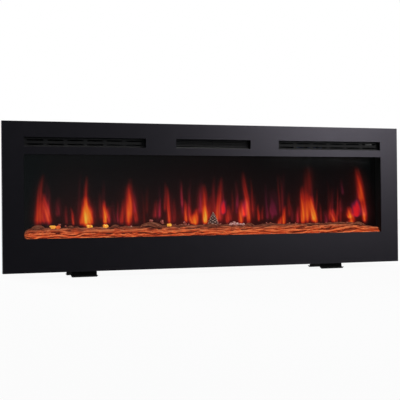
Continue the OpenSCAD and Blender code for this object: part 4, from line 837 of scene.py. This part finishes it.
class FIREPLACE_OT_cone(bpy.types.Operator):
    """Make the pine cone that lies on the bed"""
    bl_idname = "fireplace.cone"
    bl_label = "Cone"

    def execute(self, context):
        low = np.array(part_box("cone_and_crystals")[0]) / MM
        rings, scale = cone_rings((CONE_X, low[1] + CONE_BEHIND, low[2] - CONE_SUNK), CONE_RADII,
                                  CONE_HEIGHT)
        skin = shell(rings * MM, [rings[0].mean(0) * MM, rings[-1].mean(0) * MM])
        # how far each point stands out: it sets the painted shade between the scales and the frost
        # on the tips
        tips = np.concatenate([scale.ravel(), [0, 1]])
        piece("pine_cone", [skin], frosted_cone_painted_shade_and_glow(), FIXED,
              replaces=["cone_and_crystals"], values={"tip": tips})
        return {"FINISHED"}


# Crystals in a heap, and stones on the logs: middle along the bed, height over the tray and
# radius in mm. Small stones are strewn between them: how many, and the spans they come from.
CRYSTALS = [(78, 47, 7), (89, 50, 8), (100, 47, 7), (112, 46, 5), (124, 45, 6), (71, 44, 4),
            (95, 45, 6)]
STONES = [(-230, 63, 5.5), (-190, 61, 5), (-187, 55, 4), (-108, 55, 4), (-104, 52, 3),
          (-562, 54, 4)]
SMALL_STONES = 34
STONE_SPANS = [(-650, 660), (43, 49), (1.6, 3.4)]


class FIREPLACE_OT_stones(bpy.types.Operator):
    """Make the crystals and the pebbles that lie on the bed"""
    bl_idname = "fireplace.stones"
    bl_label = "Stones"

    def execute(self, context):
        tray, eye = bed_frame()[2:]
        # The crystals and the pebbles glow, as painted light from the bed below
        rose = lit_resin("rose_quartz_resin", linear("#9c4a44"), linear("#e8b4ac"), 0.55, 6)
        crystals = [pebble((x * MM, (eye - 4) * MM, (tray + h) * MM),
                           np.array((r, 5, 0.8 * r)) * MM, k + 20, 6, 7)
                    for k, (x, h, r) in enumerate(CRYSTALS)]
        piece("crystals", crystals, rose, FIXED, smooth=False)
        rng = np.random.default_rng(31)
        places = STONES + [tuple(rng.uniform(*span) for span in STONE_SPANS)
                           for _ in range(SMALL_STONES)]
        stones = [pebble((x * MM, (eye - rng.uniform(-2, 8)) * MM, (tray + h) * MM),
                         np.array((r * 1.2, r, r)) * MM, k + 60, 5, 8)
                  for k, (x, h, r) in enumerate(places)]
        pebbles = lit_resin("rose_pebble_resin", linear("#782822"), linear("#c0695c"), 0.55, 5)
        piece("pebbles", stones, pebbles, FIXED)
        return {"FINISHED"}


# ------------------------------------------------------------------ stage

FLOOR = 9                # half width of the floor, m
FLOOR_WHITE = 0.93       # share of what the camera sees of it that is plain white
ROOM_LIGHT = 0.25        # strength at which the white room lights the object
# The dark cloth, in m: its sides, its foot and top, the place where it stands before the object,
# and how far back and how high over the floor its lying part reaches
FLAG_LEFT, FLAG_RIGHT = -7, 4.2
FLAG_FOOT, FLAG_TOP, FLAG_Y = -1, 5, -4.6
FLAG_BACK, FLAG_LIFT = -0.09, 0.004
# Softboxes: place, target, width and height in m, power in W
SOFTBOXES = {
    "box_right": ((2.12, -3.11, 1.22), (1.15, 0, 0.2), 0.82, 1.16, 28),
    "key_top": ((0.6, -1.8, 3.7), (0.1, 0, 0.3), 1.6, 1.2, 90),
    "fill_top": ((0, -1.0, 3.6), (0, 0, 0.2), 3.0, 2.0, 22),
    "back_left": ((-2.6, 3.2, 2.2), (0, 0, 0.3), 1.6, 1.6, 90),
}
LENS_MM, SENSOR_MM = 80.25, 36.0
CAMERA_AT = (-1.093, -3.138, 0.246)
CAMERA_YAW, CAMERA_PITCH, CAMERA_ROLL = 18.67, 0.347, -0.556   # degrees


def seen_rays(tree):
    """1 for rays that come from the camera, straight, mirrored or through glass, or else 0."""
    kinds = add(tree, "ShaderNodeLightPath").outputs
    mirrored = add(tree, "ShaderNodeMath", {0: kinds["Is Camera Ray"], 1: kinds["Is Glossy Ray"]},
                   operation="MAXIMUM")
    return add(tree, "ShaderNodeMath", {0: mirrored.outputs[0], 1: kinds["Is Transmission Ray"]},
               operation="MAXIMUM")


def studio_paper(name, colour, white_share):
    """Paper that the camera, and what mirrors it, sees mostly as plain white; the share that
    is left shows the object's shadow."""
    material, tree, shader, place = new_material(name)
    out = next(n for n in tree.nodes if n.type == "OUTPUT_MATERIAL")
    shader.inputs["Base Color"].default_value = colour
    shader.inputs["Roughness"].default_value = 0.9
    seen = add(tree, "ShaderNodeMath", {0: seen_rays(tree).outputs[0]}, {1: white_share},
               operation="MULTIPLY")
    white = add(tree, "ShaderNodeEmission", sockets={"Color": grey(1.0)})
    mix = add(tree, "ShaderNodeMixShader",
              {0: seen.outputs[0], 1: shader.outputs[0], 2: white.outputs[0]})
    tree.links.new(mix.outputs[0], out.inputs["Surface"])
    return material


def flag_cloth():
    """Dark cloth that keeps reflections of the white room off the black front, a little
    lighter to the left, as a room is away from its lamp."""
    material, tree, shader, place = new_material("dark_flag_cloth")
    shader.inputs["Base Color"].default_value = grey(0.004)
    shader.inputs["Roughness"].default_value = 1.0
    shader.inputs["Specular IOR Level"].default_value = 0.0
    axes = add(tree, "ShaderNodeSeparateXYZ", {0: place})
    level = add(tree, "ShaderNodeMapRange", {"Value": axes.outputs["X"]},
                {"From Min": 0.5, "From Max": 3.2, "To Min": 0.09, "To Max": 0.02})
    shader.inputs["Emission Color"].default_value = (0.85, 0.97, 1.0, 1.0)
    tree.links.new(level.outputs[0], shader.inputs["Emission Strength"])
    return material


def card(name, corners, material, seen=True):
    """A flat four-cornered card of the studio."""
    mesh = bpy.data.meshes.new(name)
    mesh.from_pydata(corners, [], [(0, 1, 2, 3)])
    mesh.materials.append(material)
    obj = bpy.data.objects.new(name, mesh)
    bpy.context.scene.collection.objects.link(obj)
    if not seen:
        obj.visible_camera = obj.visible_shadow = False
    return obj


def soft_light(name, place, target, width, height, power):
    """A softbox: an area light turned to face its target."""
    data = bpy.data.lights.new(name, "AREA")
    data.shape, data.size, data.size_y, data.energy = "RECTANGLE", width, height, power
    obj = bpy.data.objects.new(name, data)
    obj.location = place
    obj.rotation_euler = (Vector(target) - Vector(place)).to_track_quat("-Z", "Y").to_euler()
    bpy.context.scene.collection.objects.link(obj)


class FIREPLACE_OT_stage(bpy.types.Operator):
    """Set the floor, the white room, the lights and the camera"""
    bl_idname = "fireplace.stage"
    bl_label = "Stage"

    def execute(self, context):
        scene = context.scene
        paper = studio_paper("white_floor_paper", grey(0.8), FLOOR_WHITE)
        card("studio_floor", [(-FLOOR, -FLOOR, 0), (FLOOR, -FLOOR, 0), (FLOOR, FLOOR, 0),
                              (-FLOOR, FLOOR, 0)], paper)
        flag = flag_cloth()
        card("flag_front", [(FLAG_LEFT, FLAG_Y, FLAG_FOOT), (FLAG_RIGHT, FLAG_Y, FLAG_FOOT),
                            (FLAG_RIGHT, FLAG_Y, FLAG_TOP), (FLAG_LEFT, FLAG_Y, FLAG_TOP)],
             flag, False)
        card("flag_floor", [(FLAG_LEFT, FLAG_Y, FLAG_LIFT), (FLAG_RIGHT, FLAG_Y, FLAG_LIFT),
                            (FLAG_RIGHT, FLAG_BACK, FLAG_LIFT),
                            (FLAG_LEFT, FLAG_BACK, FLAG_LIFT)], flag, False)
        world = bpy.data.worlds.new("white_room")
        scene.world = world
        world.use_nodes = True
        tree = world.node_tree
        tree.nodes.clear()
        seen = add(tree, "ShaderNodeBackground", sockets={"Color": grey(1.0), "Strength": 1.0})
        lit = add(tree, "ShaderNodeBackground",
                  sockets={"Color": grey(1.0), "Strength": ROOM_LIGHT})
        mix = add(tree, "ShaderNodeMixShader",
                  {0: seen_rays(tree).outputs[0], 1: lit.outputs[0], 2: seen.outputs[0]})
        add(tree, "ShaderNodeOutputWorld", {"Surface": mix.outputs[0]})
        for name, box in SOFTBOXES.items():
            soft_light(name, *box)
        data = bpy.data.cameras.new("camera")
        data.lens, data.sensor_width = LENS_MM, SENSOR_MM
        camera = bpy.data.objects.new("camera", data)
        yaw, pitch, roll = (math.radians(a) for a in (CAMERA_YAW, CAMERA_PITCH, CAMERA_ROLL))
        ahead = Vector((math.sin(yaw) * math.cos(pitch), math.cos(yaw) * math.cos(pitch),
                        math.sin(pitch)))
        right = Vector((math.cos(yaw), -math.sin(yaw), 0))
        up = right.cross(ahead)
        turned = right * math.cos(roll) + up * math.sin(roll)
        upright = up * math.cos(roll) - right * math.sin(roll)
        camera.matrix_world = Matrix.Translation(CAMERA_AT) @ Matrix(
            (turned, upright, -ahead)).transposed().to_4x4()
        scene.collection.objects.link(camera)
        scene.camera = camera
        scene.view_settings.view_transform = "Standard"
        return {"FINISHED"}


class FIREPLACE_PT_panel(bpy.types.Panel):
    """Lists the fireplace's pieces and settings"""
    bl_idname = "FIREPLACE_PT_panel"
    bl_label = "Fireplace"
    bl_space_type = "VIEW_3D"
    bl_region_type = "UI"
    bl_category = "Fireplace"

    def draw(self, context):
        for group in (context.scene.fireplace_sizes, context.scene.fireplace_colours):
            for key in group.__annotations__:
                self.layout.prop(group, key)
        for operator in OPERATORS:
            self.layout.operator(operator.bl_idname)


OPERATORS = (FIREPLACE_OT_stage, FIREPLACE_OT_finishes, FIREPLACE_OT_flames, FIREPLACE_OT_fuel_bed,
             FIREPLACE_OT_embers, FIREPLACE_OT_cone, FIREPLACE_OT_stones)
CLASSES = (FireplaceSizes, FireplaceColours) + OPERATORS + (FIREPLACE_PT_panel,)


def register():
    """Register the classes and put the settings on the scene."""
    for cls in CLASSES:
        bpy.utils.register_class(cls)
    bpy.types.Scene.fireplace_sizes = PointerProperty(type=FireplaceSizes)
    bpy.types.Scene.fireplace_colours = PointerProperty(type=FireplaceColours)


def unregister():
    """Take the settings and the classes away."""
    del bpy.types.Scene.fireplace_colours
    del bpy.types.Scene.fireplace_sizes
    for cls in reversed(CLASSES):
        bpy.utils.unregister_class(cls)


def main():
    """Make the pieces in order."""
    register()
    bpy.ops.fireplace.stage()
    bpy.ops.fireplace.finishes()
    bpy.ops.fireplace.flames()
    bpy.ops.fireplace.fuel_bed()
    bpy.ops.fireplace.embers()
    bpy.ops.fireplace.cone()
    bpy.ops.fireplace.stones()


if __name__ == "__main__":
    main()
